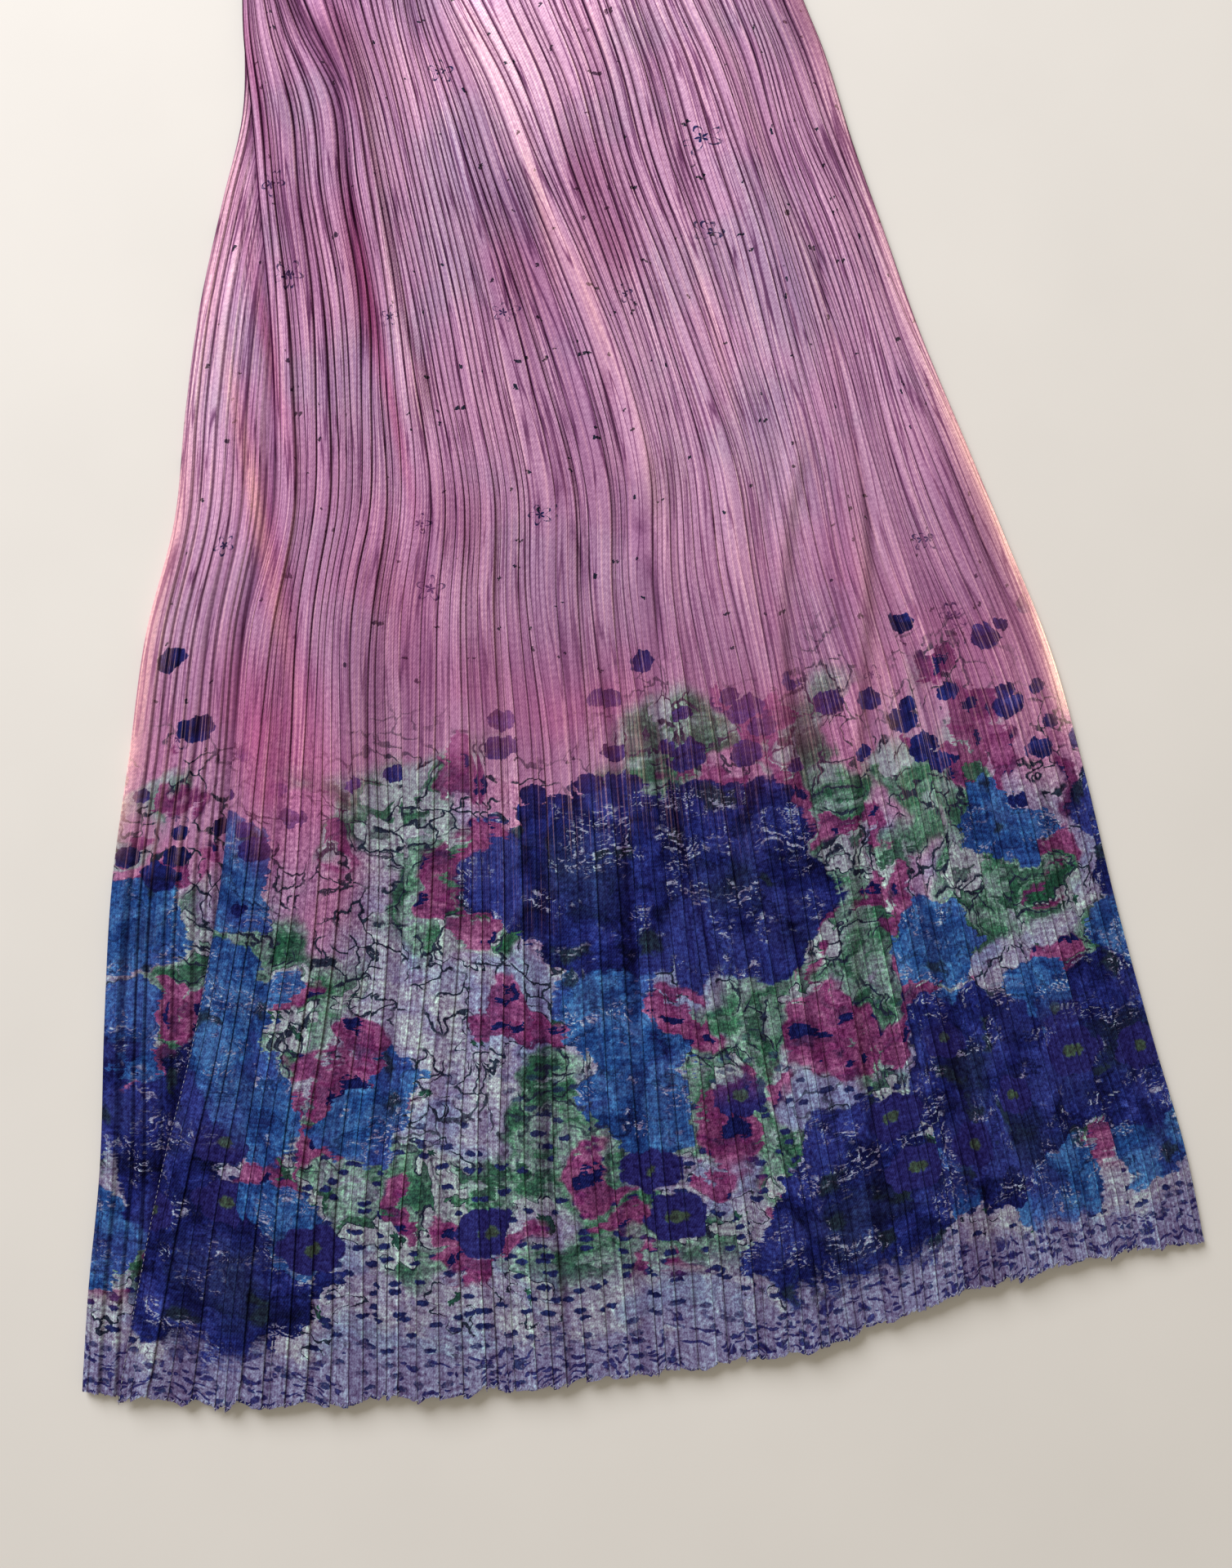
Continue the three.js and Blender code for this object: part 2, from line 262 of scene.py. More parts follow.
front = {
    "rows": 122, "wander": 2.6, "drapeHeight": 1.9, "rightInset": 0.6,
    "tilt": 0.6, "tiltBias": 0.35,    # strips lean, most of them to the left
    "sideRelief": 0.25,               # share of the relief that is left at the sides
    # the light folds are highlights painted along the pleats' folds
    "lightTop": 0.35,                 # share of the light folds that is left near the waist
    # how dark the valleys' painted shade is: at least, by chance, near the waist and its share of
    # the length, and what is lost at the hem
    "lineLeast": 0.3, "lineChance": 0.9, "lineWaist": 0.7, "lineUntil": (0.12, 0.42),
    "lineHemLoss": 0.7,
    # how much darker the cloth is where a pleat lies double, the painted light and shade of the
    # strips near the waist and at the hem, the mottling, painted shade in the creases, troughs and
    # darker washes, painted highlight in the lighter washes and along the side, the salmon, and
    # the purple that painted shade adds to the rose
    "doubled": [0.16, 0.13, 0.06, 0, 0, 0, 0, 0, 0.08, 0.16],
    "stripTone": 0.09, "hemStripTone": 0.26, "mottle": 0.10, "creaseShade": 0.55,
    "troughShade": 0.28, "shadeWashTone": 0.4, "highlightWashTone": 0.3, "edgeHighlightTone": 0.7,
    "salmon": 0.65, "shadeWashRose": 0.45,
    # rounded edges, as steps out from the last pleat and shares of the height that is left
    "rollLeft": [(2.6, 0.35), (0.4, 0.1), (-0.5, 0.55)],
    "rollRight": [(0.5, 0.62), (0.75, 0.3), (0.3, 0.02)],
}


# How strongly a fold is felt at each point
def foldStrength(fold, x, y, left=None, right=None):
    past = np.maximum(np.maximum(y - fold["y"][0], fold["y"][-1] - y), 0)
    offset = x - lineAt(fold, y)
    width = np.where(offset < 0, left or fold["left"], right or fold["right"])
    return np.exp(-((offset / width) ** 2)) * (1 - softStep(past, 0, foldFade))


def frontSwell(level, x, y):
    fromSeam = x - outlineAt("seam", level)
    lap = layers["lap"] * (1 - softStep(fromSeam, layers["lapLevel"],
                                        layers["lapLevel"] + layers["lapSlope"]))
    inside = (softStep(fromSeam, layers["tuck"], layers["tuck"] + layers["loftSide"])
              * softStep(outlineAt("right", level) - x, 0, layers["loftSide"])
              * softStep(topY - y, 0, layers["gather"]))
    folded = layers["loft"] + sum(fold["height"] * foldStrength(fold, x, y) for fold in mainFolds)
    folded = folded + front["drapeHeight"] * uneven(5, x, y, 30, 130)
    left, right = outlineAt("left", level), outlineAt("right", level)
    lift = curveThrough(hem["across"], hem["lift"], (x - left) / (right - left))
    along = (topY - level) / (topY - hemY)
    folded = folded + lift * softStep(along, hem["liftStart"], 1)
    folded = folded * (1 - hem["sag"] * softStep(along, hem["sagStart"], 1))
    return lap + inside * np.maximum(folded, 0)


# How dark the creases' painted shade is at each point, and how deep the creases are
def creaseMarks(x, y):
    dark = np.zeros(x.shape)
    for line in creases["lines"]:
        past = np.maximum(np.maximum(y - line["y"][0], line["y"][-1] - y), 0)
        offset = x - lineAt(line, y)
        sharp = np.exp(-((offset / creases["width"]) ** 2))
        soft = np.exp(-((offset / creases["shadow"]) ** 2)) * (offset < 0)
        fade = 1 - softStep(past, 0, creases["fade"])
        dark += line["depth"] * (creases["sharp"] * sharp + creases["soft"] * soft) * fade
    return np.minimum(dark, 1)


# The outermost cloth at each side is a single layer, with a lighter salmon highlight painted along
# its edge
edgeHighlight = {"wide": 8, "top": 150, "full": 60, "fades": -60, "bottom": -110, "topLoss": 0.6}


def edgeHighlightShare(fromSide, y):
    length = (softStep(y, edgeHighlight["bottom"], edgeHighlight["fades"])
              * (1 - edgeHighlight["topLoss"] * softStep(y, edgeHighlight["full"], edgeHighlight["top"])))
    return length * np.exp(-((fromSide / edgeHighlight["wide"]) ** 2))


def washAmount(name, x, y):
    total = np.zeros(x.shape)
    for middleX, middleY, wide, long, much in washes[name]:
        across = (x - middleX + washLean * (y - middleY)) / wide
        total += much * np.exp(-(across ** 2) - ((y - middleY) / long) ** 2)
    return np.minimum(total, washMost)


def newObject(name, data):
    made = bpy.data.objects.new(name, data)
    bpy.context.scene.collection.objects.link(made)
    return made


# A mesh of one sheet through rows of points in millimetres, with its print's UV map
def sheetMesh(name, x, y, z, printX, printY, marks):
    rows, columns = x.shape
    points = np.stack([x, y, z], axis=-1).reshape(-1, 3) * mm
    corner = (np.arange(rows - 1)[:, None] * columns + np.arange(columns - 1)[None, :]).ravel()
    faces = np.stack([corner, corner + columns, corner + columns + 1, corner + 1], axis=-1)
    mesh = bpy.data.meshes.new(name)
    mesh.vertices.add(len(points))
    mesh.vertices.foreach_set("co", points.ravel())
    mesh.loops.add(faces.size)
    mesh.loops.foreach_set("vertex_index", faces.ravel())
    mesh.polygons.add(len(faces))
    mesh.polygons.foreach_set("loop_start", np.arange(0, faces.size, 4))
    mesh.polygons.foreach_set("loop_total", np.full(len(faces), 4))
    mesh.update(calc_edges=True)
    uv = np.stack([printX, printY], axis=-1).reshape(-1, 2) * mm
    layer = mesh.uv_layers.new(name="print")
    layer.data.foreach_set("uv", uv[faces.ravel()].ravel())
    for mark, values in marks.items():
        values = np.broadcast_to(values, x.shape).ravel()
        mesh.attributes.new(mark, "FLOAT", "POINT").data.foreach_set("value", values)
    mesh.polygons.foreach_set("use_smooth", np.ones(len(faces), bool))
    return newObject(name, mesh)


# Where the front's pleats begin on each row, before the folds move them and after
def pleatLines(levels, leftEdge, rightEdge, knife):
    count = pleats["count"]
    number = np.arange(count)[None, :]
    luck = 0.5 * (1 + uneven(pleats["seed"], number * 1.0, levels[:, None], 1, 380))
    loose = pleats["narrow"] + pleats["wide"] * luck ** 3
    pressed = 1 + pleats["hemUneven"] * (2 * luck - 1)
    widths = loose * (1 - knife) + pressed * knife
    total = (rightEdge - leftEdge)[:, None]
    ends = np.cumsum(widths / widths.sum(axis=1, keepdims=True) * total, axis=1)
    drift = ends - (number + 1) / count * total
    near = pleats["smoothOver"]
    padded = np.pad(drift, ((0, 0), (near, near)), mode="edge")
    kernel = np.ones(2 * near + 1) / (2 * near + 1)
    ends = ends - np.array([np.convolve(row, kernel, mode="valid") for row in padded])
    ends = ends / ends[:, -1:] * total
    flat = leftEdge[:, None] + np.concatenate([np.zeros((len(levels), 1)), ends], axis=1)
    held = (softStep(flat - leftEdge[:, None], 0, 15)
            * softStep(rightEdge[:, None] - flat, 0, 15))
    lines = flat + held * front["wander"] * uneven(41, flat, levels[:, None], 40, 150)
    shares = list(pleats["moved"])
    moved = np.array([lineAt({"y": pleats["levels"], "x": pleats["moved"][share]}, levels)
                      for share in shares]).T
    for row in range(len(levels)):
        share = (flat[row] - leftEdge[row]) / total[row]
        lines[row] += np.interp(share, shares, moved[row])
    gap = pleats["leastPitch"]
    steps = gap * np.arange(count + 1)[None, :]
    lines = np.maximum.accumulate(lines - steps, axis=1) + steps
    highest = rightEdge[:, None] - gap * np.arange(count, -1, -1)[None, :]
    return flat, np.clip(lines, leftEdge[:, None] + steps, highest)


def frontCloth():
    levels = np.linspace(topY, hemY, front["rows"])
    leftEdge, rightEdge = outlineAt("seam", levels), outlineAt("right", levels)
    rightEdge = rightEdge - front["rightInset"]
    share = ((topY - levels) / (topY - hemY))[:, None]
    knife = softStep(share, pleats["rollUntil"], pleats["knifeFrom"])
    flat, lines = pleatLines(levels, leftEdge, rightEdge, knife)
    count = pleats["count"]
    number = np.arange(count)[None, :]
    pitch = np.diff(lines, axis=1)
    knife3 = knife[:, :, None]
    opened = pleats["waistOpen"] - softStep(share, *pleats["openUntil"])
    valleyReach = pleats["valleyReach"] * opened
    reach = np.minimum(valleyReach / pitch, pleats["valleyShare"])[:, :, None]
    rollPlace = np.array(pleats["rollPlace"]) + reach * np.array(pleats["valleyPlace"])
    rollPlace[:, :, 4] = 0.5
    place = np.array(pleats["knifePlace"]) * knife3 + rollPlace * (1 - knife3)
    height = (np.array(pleats["knifeHeight"]) * knife3
              + np.array(pleats["rollHeight"]) * (1 - knife3))

    # soft chance for each pleat, from -1 to 1, that changes along it over a length
    def chance(seed, length):
        return uneven(seed, number * 1.0, levels[:, None], 1, length)

    strength = 0.5 * (1 + chance(12, 170))
    tilt = chance(13, 300)
    lean = front["tilt"] * (tilt[:, :, None] + front["tiltBias"])
    height = height * (1 + lean * (place - 0.5) * (1 - knife3))
    topLeast, topMore = pleats["topVaries"]
    hemLeast, hemMore = pleats["hemVaries"]
    relief = (pleats["topRelief"] * (topLeast + topMore * strength) * (1 - knife)
              + pleats["hemRelief"] * (hemLeast + hemMore * strength) * knife)
    relief = relief * softStep(pitch, 0, pleats["fullPitch"])
    size = (len(levels), count * place.shape[2])
    x = (lines[:, :-1, None] + pitch[:, :, None] * place).reshape(size)
    z = (relief[:, :, None] * height).reshape(size)
    printX = (flat[:, :-1, None] + np.diff(flat, axis=1)[:, :, None] * place).reshape(size)
    level = np.repeat(levels[:, None], size[1], axis=1)
    y = rowLevel(level, x)
    sides = softStep(x - leftEdge[:, None], -1, 5) * softStep(rightEdge[:, None] - x, 0, 4)
    dark = creaseMarks(x, y)
    z = z * (front["sideRelief"] + (1 - front["sideRelief"]) * sides)
    z = z + layers["rest"] + frontSwell(level, x, y)
    z = np.maximum(z - creases["drop"] * dark * sides, layers["rest"])

    perPleat = place.shape[2]
    slip = np.random.default_rng(pleats["seed"]).uniform(-1, 1, (2, count))
    printX = printX + pleats["printSlip"] * np.repeat(slip[0], perPleat)
    printY = level - hemY + 0.5 * pleats["printSlip"] * np.repeat(slip[1], perPleat)

    # marks for the shader: painted shade along the valleys, painted highlights along the folds,
    # tone with painted light and shade in it, and dye
    # painted shade along the valleys, strongest near the waist
    lineLuck = 0.5 * (1 + chance(14, 210))
    upper = 1 - softStep(share, *front["lineUntil"])
    valleyShadeDarkness = (front["lineLeast"] + front["lineChance"] * lineLuck ** 1.5
                + front["lineWaist"] * upper)
    valleyShadeDarkness = np.minimum(valleyShadeDarkness, 1) * (1 - front["lineHemLoss"] * knife)
    valleyShadeDarkness = np.repeat(valleyShadeDarkness, perPleat, axis=1) * np.tile(pleats["valleyShadeMark"], count)
    # painted highlight along the folds, stronger towards the hem
    lightLuck = 0.5 * (1 + chance(15, 120))
    light = lightLuck * (front["lightTop"] + (1 - front["lightTop"]) * knife)
    light = np.repeat(light, perPleat, axis=1)
    light = light * np.tile(pleats["crestHighlightMark"], count)
    # each strip lighter or darker at random: painted light and shade, stronger towards the hem
    stripMuch = front["stripTone"] + (front["hemStripTone"] - front["stripTone"]) * knife
    stripTone = stripMuch * chance(16, 200)
    tone = 1 + np.repeat(stripTone, perPleat, axis=1)
    deeper = (0.4 + 0.8 * lineLuck) * (0.6 + 1.2 * knife)
    tone = tone - np.tile(front["doubled"], count) * np.repeat(deeper, perPleat, axis=1)
    tone = tone * (1 + front["mottle"] * uneven(17, x, y, 46, 120))
    # painted shade in the creases
    tone = tone * (1 - front["creaseShade"] * dark)
    # painted shade in the troughs of the folds
    trough = sum(foldStrength(fold, x, y) for fold in mainFolds if fold["height"] < 0)
    tone = tone * (1 - front["troughShade"] * trough)
    # painted shade where the darker washes lie, which also tints the rose purple
    shadeWash = washAmount("shadeWash", x, y)
    side = edgeHighlightShare(rightEdge[:, None] - x, y)
    tone = tone * (1 - front["shadeWashTone"] * shadeWash)
    # painted highlight where the lighter washes lie
    tone = tone * (1 + front["highlightWashTone"] * washAmount("highlightWash", x, y))
    # painted highlight along the right edge
    tone = tone * (1 + front["edgeHighlightTone"] * side)
    # salmon: highlights painted along the edges of folds, along the right edge and on the folds'
    # ridges
    salmon = front["salmon"] * washAmount("salmon", x, y) + side
    salmon = salmon + sum(fold["ridgeHighlight"] * foldStrength(fold, x, y, 4, 2) for fold in mainFolds)
    # rose: the dye's pink patches, with a purple tint from the painted shade
    rose = np.minimum(washAmount("rose", x, y) + front["shadeWashRose"] * shadeWash, 1)
    across = (number[:, :, None] + place).reshape(size)

    # the last rows end in the cut edge, toothed by the pleats and a little ragged
    fray = np.random.default_rng(3).uniform(-1, 1, size[1])
    toothMuch = np.repeat(hem["leastTooth"] + slip[1], perPleat)
    tooth = (np.tile(pleats["knifePlace"], count) - 0.5) * toothMuch
    y[-1] += hem["fray"] * fray
    scallop = uneven(18, x[-1], 0 * x[-1], hem["scallopLong"], 1)
    y[-2:] += hem["step"] * tooth + hem["scallop"] * scallop

    # the side seam's edge rolls under at the left, and the right side rolls down to the back
    rollLeft, rollRight = front["rollLeft"], front["rollRight"]
    turnZ = layers["turnTop"] + 1.9
    leftX = [x[:, 0] + out for out, up in rollLeft]
    leftZ = [turnZ + (z[:, 0] - turnZ) * up for out, up in rollLeft]
    rightX = [x[:, -1] + out for out, up in rollRight]
    rightZ = [0.4 + (z[:, -1] - 0.4) * up for out, up in rollRight]

    def widen(values, first=None, last=None):
        values = np.broadcast_to(values, size)
        first = first or [values[:, 0]] * len(rollLeft)
        last = last or [values[:, -1]] * len(rollRight)
        return np.concatenate([np.stack(first, axis=1), values, np.stack(last, axis=1)], axis=1)

    marks = {"line": widen(valleyShadeDarkness), "light": widen(light), "tone": widen(tone),
             "salmon": widen(np.clip(salmon, 0, 1)), "rose": widen(rose), "across": widen(across)}
    edges = {"hemX": x[-1], "hemY": y[-1], "hemZ": z[-1], "seamX": leftX[2], "seamY": y[:, 0],
             "seamZ": z[:, 0], "levels": levels}
    piece = sheetMesh("front_cloth", widen(x, leftX, rightX), widen(y), widen(z, leftZ, rightZ),
                      widen(printX), widen(printY), marks)
    return piece, edges


# The back panel: flat on the table under the front, round the left side, and up to the seam
back = {
    "rows": 110, "columnsPerPleat": 3, "turnSteps": 7, "turnColumns": 110, "seed": 23,
    "relief": 0.9, "turnRelief": 1.5, "turnUneven": 0.42, "printStart": -330,
    "fold": 0.7, "turnFold": 0.82,    # where in its pitch a pleat is highest
    # the widths of the painted shade in the valleys and of the painted highlight on the crests
    "valleyWide": 0.09, "crestWide": 0.07,
    "sideFoldShade": 0.75, "sideFoldShadeWide": 1.3,
    "stripTone": 0.16, "shadowUnderFront": 0.45, "edgeHighlightTone": 0.3, "salmon": 0.8,
}


def backCloth():
    levels = np.linspace(topY, hemY, back["rows"])
    left, right = outlineAt("left", levels), outlineAt("right", levels)
    radius = (layers["turnTop"] - layers["turnUnder"]) / 2
    start = left + radius
    lyingCount = pleats["count"] * back["columnsPerPleat"]
    share = np.linspace(1, 0, lyingCount + 1)[None, :]
    x = start[:, None] + (right - 0.4 - start)[:, None] * share
    phase = (share * pleats["count"]) % 1
    fold, turnFold = back["fold"], back["turnFold"]
    saw = np.where(phase < fold, phase / fold, (1 - phase) / (1 - fold))
    z = layers["turnUnder"] + back["relief"] * saw
    z = z * np.ones_like(x)
    lyingNumber = -share * pleats["count"] * np.ones_like(x)
    columnsX, columnsZ = [x], [z]
    for step in range(1, back["turnSteps"]):
        angle = math.pi * step / back["turnSteps"]
        columnsX.append((start - radius * math.sin(angle))[:, None])
        columnsZ.append(np.full((len(levels), 1),
                                layers["turnUnder"] + radius * (1 - math.cos(angle))))
    width = outlineAt("seam", levels) + layers["tuck"] - start
    share = np.linspace(0, 1, back["turnColumns"] + 1)[None, :]
    turnedX = start[:, None] + width[:, None] * share
    pitch = (right - left) / pleats["count"]
    number = (turnedX - start[:, None]) / pitch[:, None]
    along = levels[:, None] * np.ones_like(number)
    number = number + back["turnUneven"] * uneven(back["seed"], number * 1.3, along, 1, 190)
    phase = number % 1
    relief = back["turnRelief"] * np.clip(pitch[:, None] / 8, 0.5, 1)
    saw = np.where(phase < turnFold, phase / turnFold, (1 - phase) / (1 - turnFold))
    fadeIn = softStep(turnedX - start[:, None], 0, 3)
    turnedZ = layers["turnTop"] + relief * saw * fadeIn
    columnsX.append(turnedX)
    columnsZ.append(turnedZ)
    x = np.concatenate(columnsX, axis=1)
    z = np.concatenate(columnsZ, axis=1)
    level = np.repeat(levels[:, None], x.shape[1], axis=1)
    y = rowLevel(level, x)
    plain = np.zeros((len(levels), x.shape[1] - turnedX.shape[1]))
    luck = 0.5 * (1 + uneven(26, np.floor(number), along, 1, 150))
    # painted shade along the valleys, and painted highlight on the crests
    fromValley = np.minimum(phase, 1 - phase) / back["valleyWide"]
    fromCrest = (phase - turnFold) / back["crestWide"]
    valley = np.exp(-(fromValley ** 2)) * (0.3 + 0.7 * luck)
    crest = np.exp(-(fromCrest ** 2)) * (0.2 + 0.6 * luck)
    line = np.concatenate([plain, valley], axis=1)
    light = np.concatenate([plain, crest], axis=1)
    # the side's fold is doubled cloth, with a thin line of painted shade along it
    fromSide = np.abs(x - left[:, None])
    upper = softStep(level, 40, 150)
    sideFoldShade = back["sideFoldShade"] * np.exp(-((fromSide / back["sideFoldShadeWide"]) ** 2))
    line = np.maximum(line, sideFoldShade * (0.4 + 0.6 * upper))
    tone = 1 + back["stripTone"] * uneven(27, x - left[:, None], level, 4, 160)
    # painted shadow under the front's edge and just beside it
    shadowUnderFront = softStep(x - outlineAt("seam", level), -7, 0)
    # painted highlight, lighter and salmon, along the outer side
    side = edgeHighlightShare(x - left[:, None], y)
    tone = tone * (1 - back["shadowUnderFront"] * shadowUnderFront) * (1 + back["edgeHighlightTone"] * side)
    # the print runs on round the side, and starts afresh from the front's at the seam
    run = np.concatenate([-(x[:, :lyingCount + 1] - left[:, None]),
                          x[:, lyingCount + 1:] - left[:, None]], axis=1)
    fray = np.random.default_rng(4).uniform(-1, 1, x.shape[1])
    y[-1] += hem["fray"] * fray
    turnNumber = np.zeros((len(levels), back["turnSteps"] - 1))
    # salmon: the washes, and the highlight painted along the outer side
    salmon = washAmount("salmon", x, y) + back["salmon"] * side
    marks = {"line": line, "light": light, "tone": tone, "salmon": np.minimum(salmon, 1),
             "rose": washAmount("rose", x, y),
             "across": np.concatenate([lyingNumber, turnNumber, number], axis=1)}
    return sheetMesh("back_cloth", x, y, z, back["printStart"] + run, level - hemY, marks)


# The waistband: cloth gathered over a flat elastic, a flattened ring open at both edges
band = {"top": 411.3, "bottom": 375.5, "wall": 2.0, "hollow": 0.6, "gathers": 96,
        "gatherDepth": 0.38, "stepsPerGather": 8, "edge": 0.9, "rowsUp": 9,
        "round": (0.35, 0.25)}   # how its edges are rounded, across the wall and down it


def bandCloth():
    left, right = outline["left"][0], outline["right"][0]
    radius = band["wall"] + band["hollow"] / 2
    straight = right - left - 2 * radius
    arc = math.pi * radius
    steps = band["gathers"] * band["stepsPerGather"]
    distance = np.arange(steps) / steps * (2 * straight + 2 * arc)
    # centre line of the wall's outer face, and the direction out of it
    centreX = np.zeros(steps)
    outX = np.zeros(steps)
    outZ = np.zeros(steps)
    for index, run in enumerate(distance):
        if run < straight:
            centreX[index], outZ[index] = left + radius + run, -1
        elif run < straight + arc:
            angle = (run - straight) / radius - math.pi / 2
            centreX[index] = right - radius
            outX[index], outZ[index] = math.cos(angle), math.sin(angle)
        elif run < 2 * straight + arc:
            centreX[index], outZ[index] = right - radius - (run - straight - arc), 1
        else:
            angle = (run - 2 * straight - arc) / radius + math.pi / 2
            centreX[index] = left + radius
            outX[index], outZ[index] = math.cos(angle), math.sin(angle)
    # the wall's section: up its outer face, over the top edge, down inside, and round below
    height = band["top"] - band["bottom"]
    wall = band["wall"]
    up = np.linspace(band["edge"], height - band["edge"], band["rowsUp"])
    section = [(0.0, level, 1.0) for level in up]
    inward, down = band["round"]
    section += [(inward, height - down, 0.5), (wall / 2, height, 0.0),
                (wall - inward, height - down, 0.0)]
    section += [(wall, level, 0.0) for level in up[::-1]]
    section += [(wall - inward, down, 0.0), (wall / 2, 0, 0.0), (inward, down, 0.5)]
    wobble = uneven(31, np.arange(steps) * 1.0, np.zeros(steps), 6, 1)
    ripple = np.cos(np.arange(steps) / band["stepsPerGather"] * 2 * math.pi + 2.2 * wobble)
    points, faces = [], []
    for depth, level, gathered in section:
        waist = math.sin(math.pi * min(max(level / height, 0), 1)) ** 0.3
        reach = radius - depth - gathered * band["gatherDepth"] * (1 - ripple) * 0.5 * waist
        points.append(np.stack([centreX + outX * reach, np.full(steps, band["bottom"] + level),
                                np.maximum(radius + outZ * reach, 0.02)], axis=1))
    count = len(section)
    for ring in range(count):
        for step in range(steps):
            after = (step + 1) % steps
            over = (ring + 1) % count
            faces.append((ring * steps + step, ring * steps + after,
                          over * steps + after, over * steps + step))
    mesh = bpy.data.meshes.new("waistband_cloth")
    mesh.from_pydata((np.concatenate(points) * mm).tolist(), [], faces)
    mesh.polygons.foreach_set("use_smooth", np.ones(len(faces), bool))
    mesh.update()
    return newObject("waistband_cloth", mesh)


# sRGB hex to the linear colour that shaders take
def dye(code):
    parts = [int(code[place:place + 2], 16) / 255 for place in (1, 3, 5)]
    return (*[p / 12.92 if p <= 0.04045 else ((p + 0.055) / 1.055) ** 2.4 for p in parts], 1.0)


# Adds one node, with its settings and what goes into its sockets: a value, a socket, or a node,
# whose first output is meant. Stops are a colour ramp's places and colours.
def put(tree, kind, sockets=None, stops=None, **settings):
    made = tree.nodes.new(kind)
    for setting, value in settings.items():
        setattr(made, setting, value)
    for index, (where, colour) in enumerate(stops or []):
        elements = made.color_ramp.elements
        element = elements[index] if index < 2 else elements.new(where)
        element.position, element.color = where, colour
    for key, value in (sockets or {}).items():
        if isinstance(value, bpy.types.Node):
            value = next(socket for socket in value.outputs if socket.enabled)
        if isinstance(value, bpy.types.NodeSocket):
            tree.links.new(value, made.inputs[key])
        else:
            made.inputs[key].default_value = value
    return made


def newMaterial(name):
    material = bpy.data.materials.new(name)
    material.use_nodes = True
    material.node_tree.nodes.clear()
    return material, material.node_tree


# The surface of a material, with its relief in the normals: how strong, and how deep in mm
def finishSurface(tree, relief, strength, depth, sockets):
    bump = put(tree, "ShaderNodeBump", {"Height": relief, "Strength": strength,
                                        "Distance": depth * mm})
    surface = put(tree, "ShaderNodeBsdfPrincipled", {**sockets, "Normal": bump})
    put(tree, "ShaderNodeOutputMaterial", {"Surface": surface})


# The dye and the print. Each motif is worked out from Voronoi cells, whose centres place it and
# whose random colour gives its size, turn and kind. Places are millimetres on the cloth:
# X across it and Y up from the hem.
dyes = {name: dye(code) for name, code in {
    "mauve": "#ca9abf", "pink": "#d5a0c2", "violet": "#b593b8", "greyViolet": "#bf9bbb",
    "lowMauve": "#a5759a", "salmon": "#eeb0b5", "rose": "#b46290",
    "pale": "#8e8ba6", "palest": "#a5aab6", "lavender": "#7c76a0", "veil": "#6f80ad",
    "navy": "#10154b", "deepNavy": "#05082b", "ultramarine": "#1c2469", "violetBlue": "#37408c",
    "violetNavy": "#242260", "olive": "#3b4a3f", "oliveDark": "#1c2731", "midBlue": "#204583",
    "skyBlue": "#4069a2",
    "magenta": "#762c62", "plum": "#3f1c48", "lightMagenta": "#a86494",
    "leaf": "#38634f", "leafDark": "#22433d", "leafPale": "#7a9490", "bottleGreen": "#1d4837",
    "line": "#20273a", "lilac": "#7f7da2", "ink": "#1d2456", "scratch": "#9296b2",
}.items()}
# paints that change with the brush's wash: its two ends first, and then what lies between
paints = {
    "ground": [(0.28, "violet"), (0.74, "pink"), (0.40, "greyViolet"), (0.50, "mauve")],
    "paleWash": [(0.32, "lavender"), (0.66, "palest"), (0.48, "pale")],
    "leafWash": [(0.33, "leafDark"), (0.72, "pale"), (0.44, "leaf"), (0.57, "leafPale")],
    "bloomWash": [(0.34, "plum"), (0.70, "lightMagenta"), (0.50, "magenta")],
    "darkWash": [(0.34, "deepNavy"), (0.70, "violetBlue"), (0.46, "navy"), (0.58, "ultramarine")],
    "brightWash": [(0.32, "navy"), (0.74, "violetBlue"), (0.46, "midBlue"), (0.60, "skyBlue")],
}
# how places are shaken before the print reads them, so that edges bleed as wet dye does: by
# which noise, how far, and from which places
shakes = {
    "swum": ("broad", (58, 50, 0), "still"), "brushed": ("hairs", (10, 3, 0), "swum"),
    "wet": ("fine", (4, 4, 0), "brushed"), "steady": ("fine", (4, 4, 0), "still"),
    "soaked": ("fine", (4.5, 3, 0), "swum"), "calm": ("fine", (1.5, 1.5, 0), "still"),
}
# and places that are drawn out sideways, by this share
stretches = {"broadened": ("steady", 0.78), "dashed": ("steady", 0.5), "ticked": ("soaked", 0.42)}
# noise of the dye: its places, the size of its blotches, its detail and roughness, and for some a
# slice of the noise that is their own
dyeNoise = {
    "wash": ("wet", 19, 5.0, 0.68, None), "blotch": ("still", 75, 3.0, 0.5, None),
    "veils": ("swum", 46, 2.0, 0.5, 2.4), "leafy": ("swum", 76, 1.0, 0.5, 4.2),
    "veined": ("still", 22, 2.0, 0.5, 1.7), "clusters": ("swum", 58, 1.0, 0.5, 9.1),
    "edges": ("wet", 2.6, 2.0, 0.5, None), "scratches": ("still", 17, 2.0, 0.5, 6.6),
    "grain": ("still", 1.9, 2.0, 0.7, None),
}
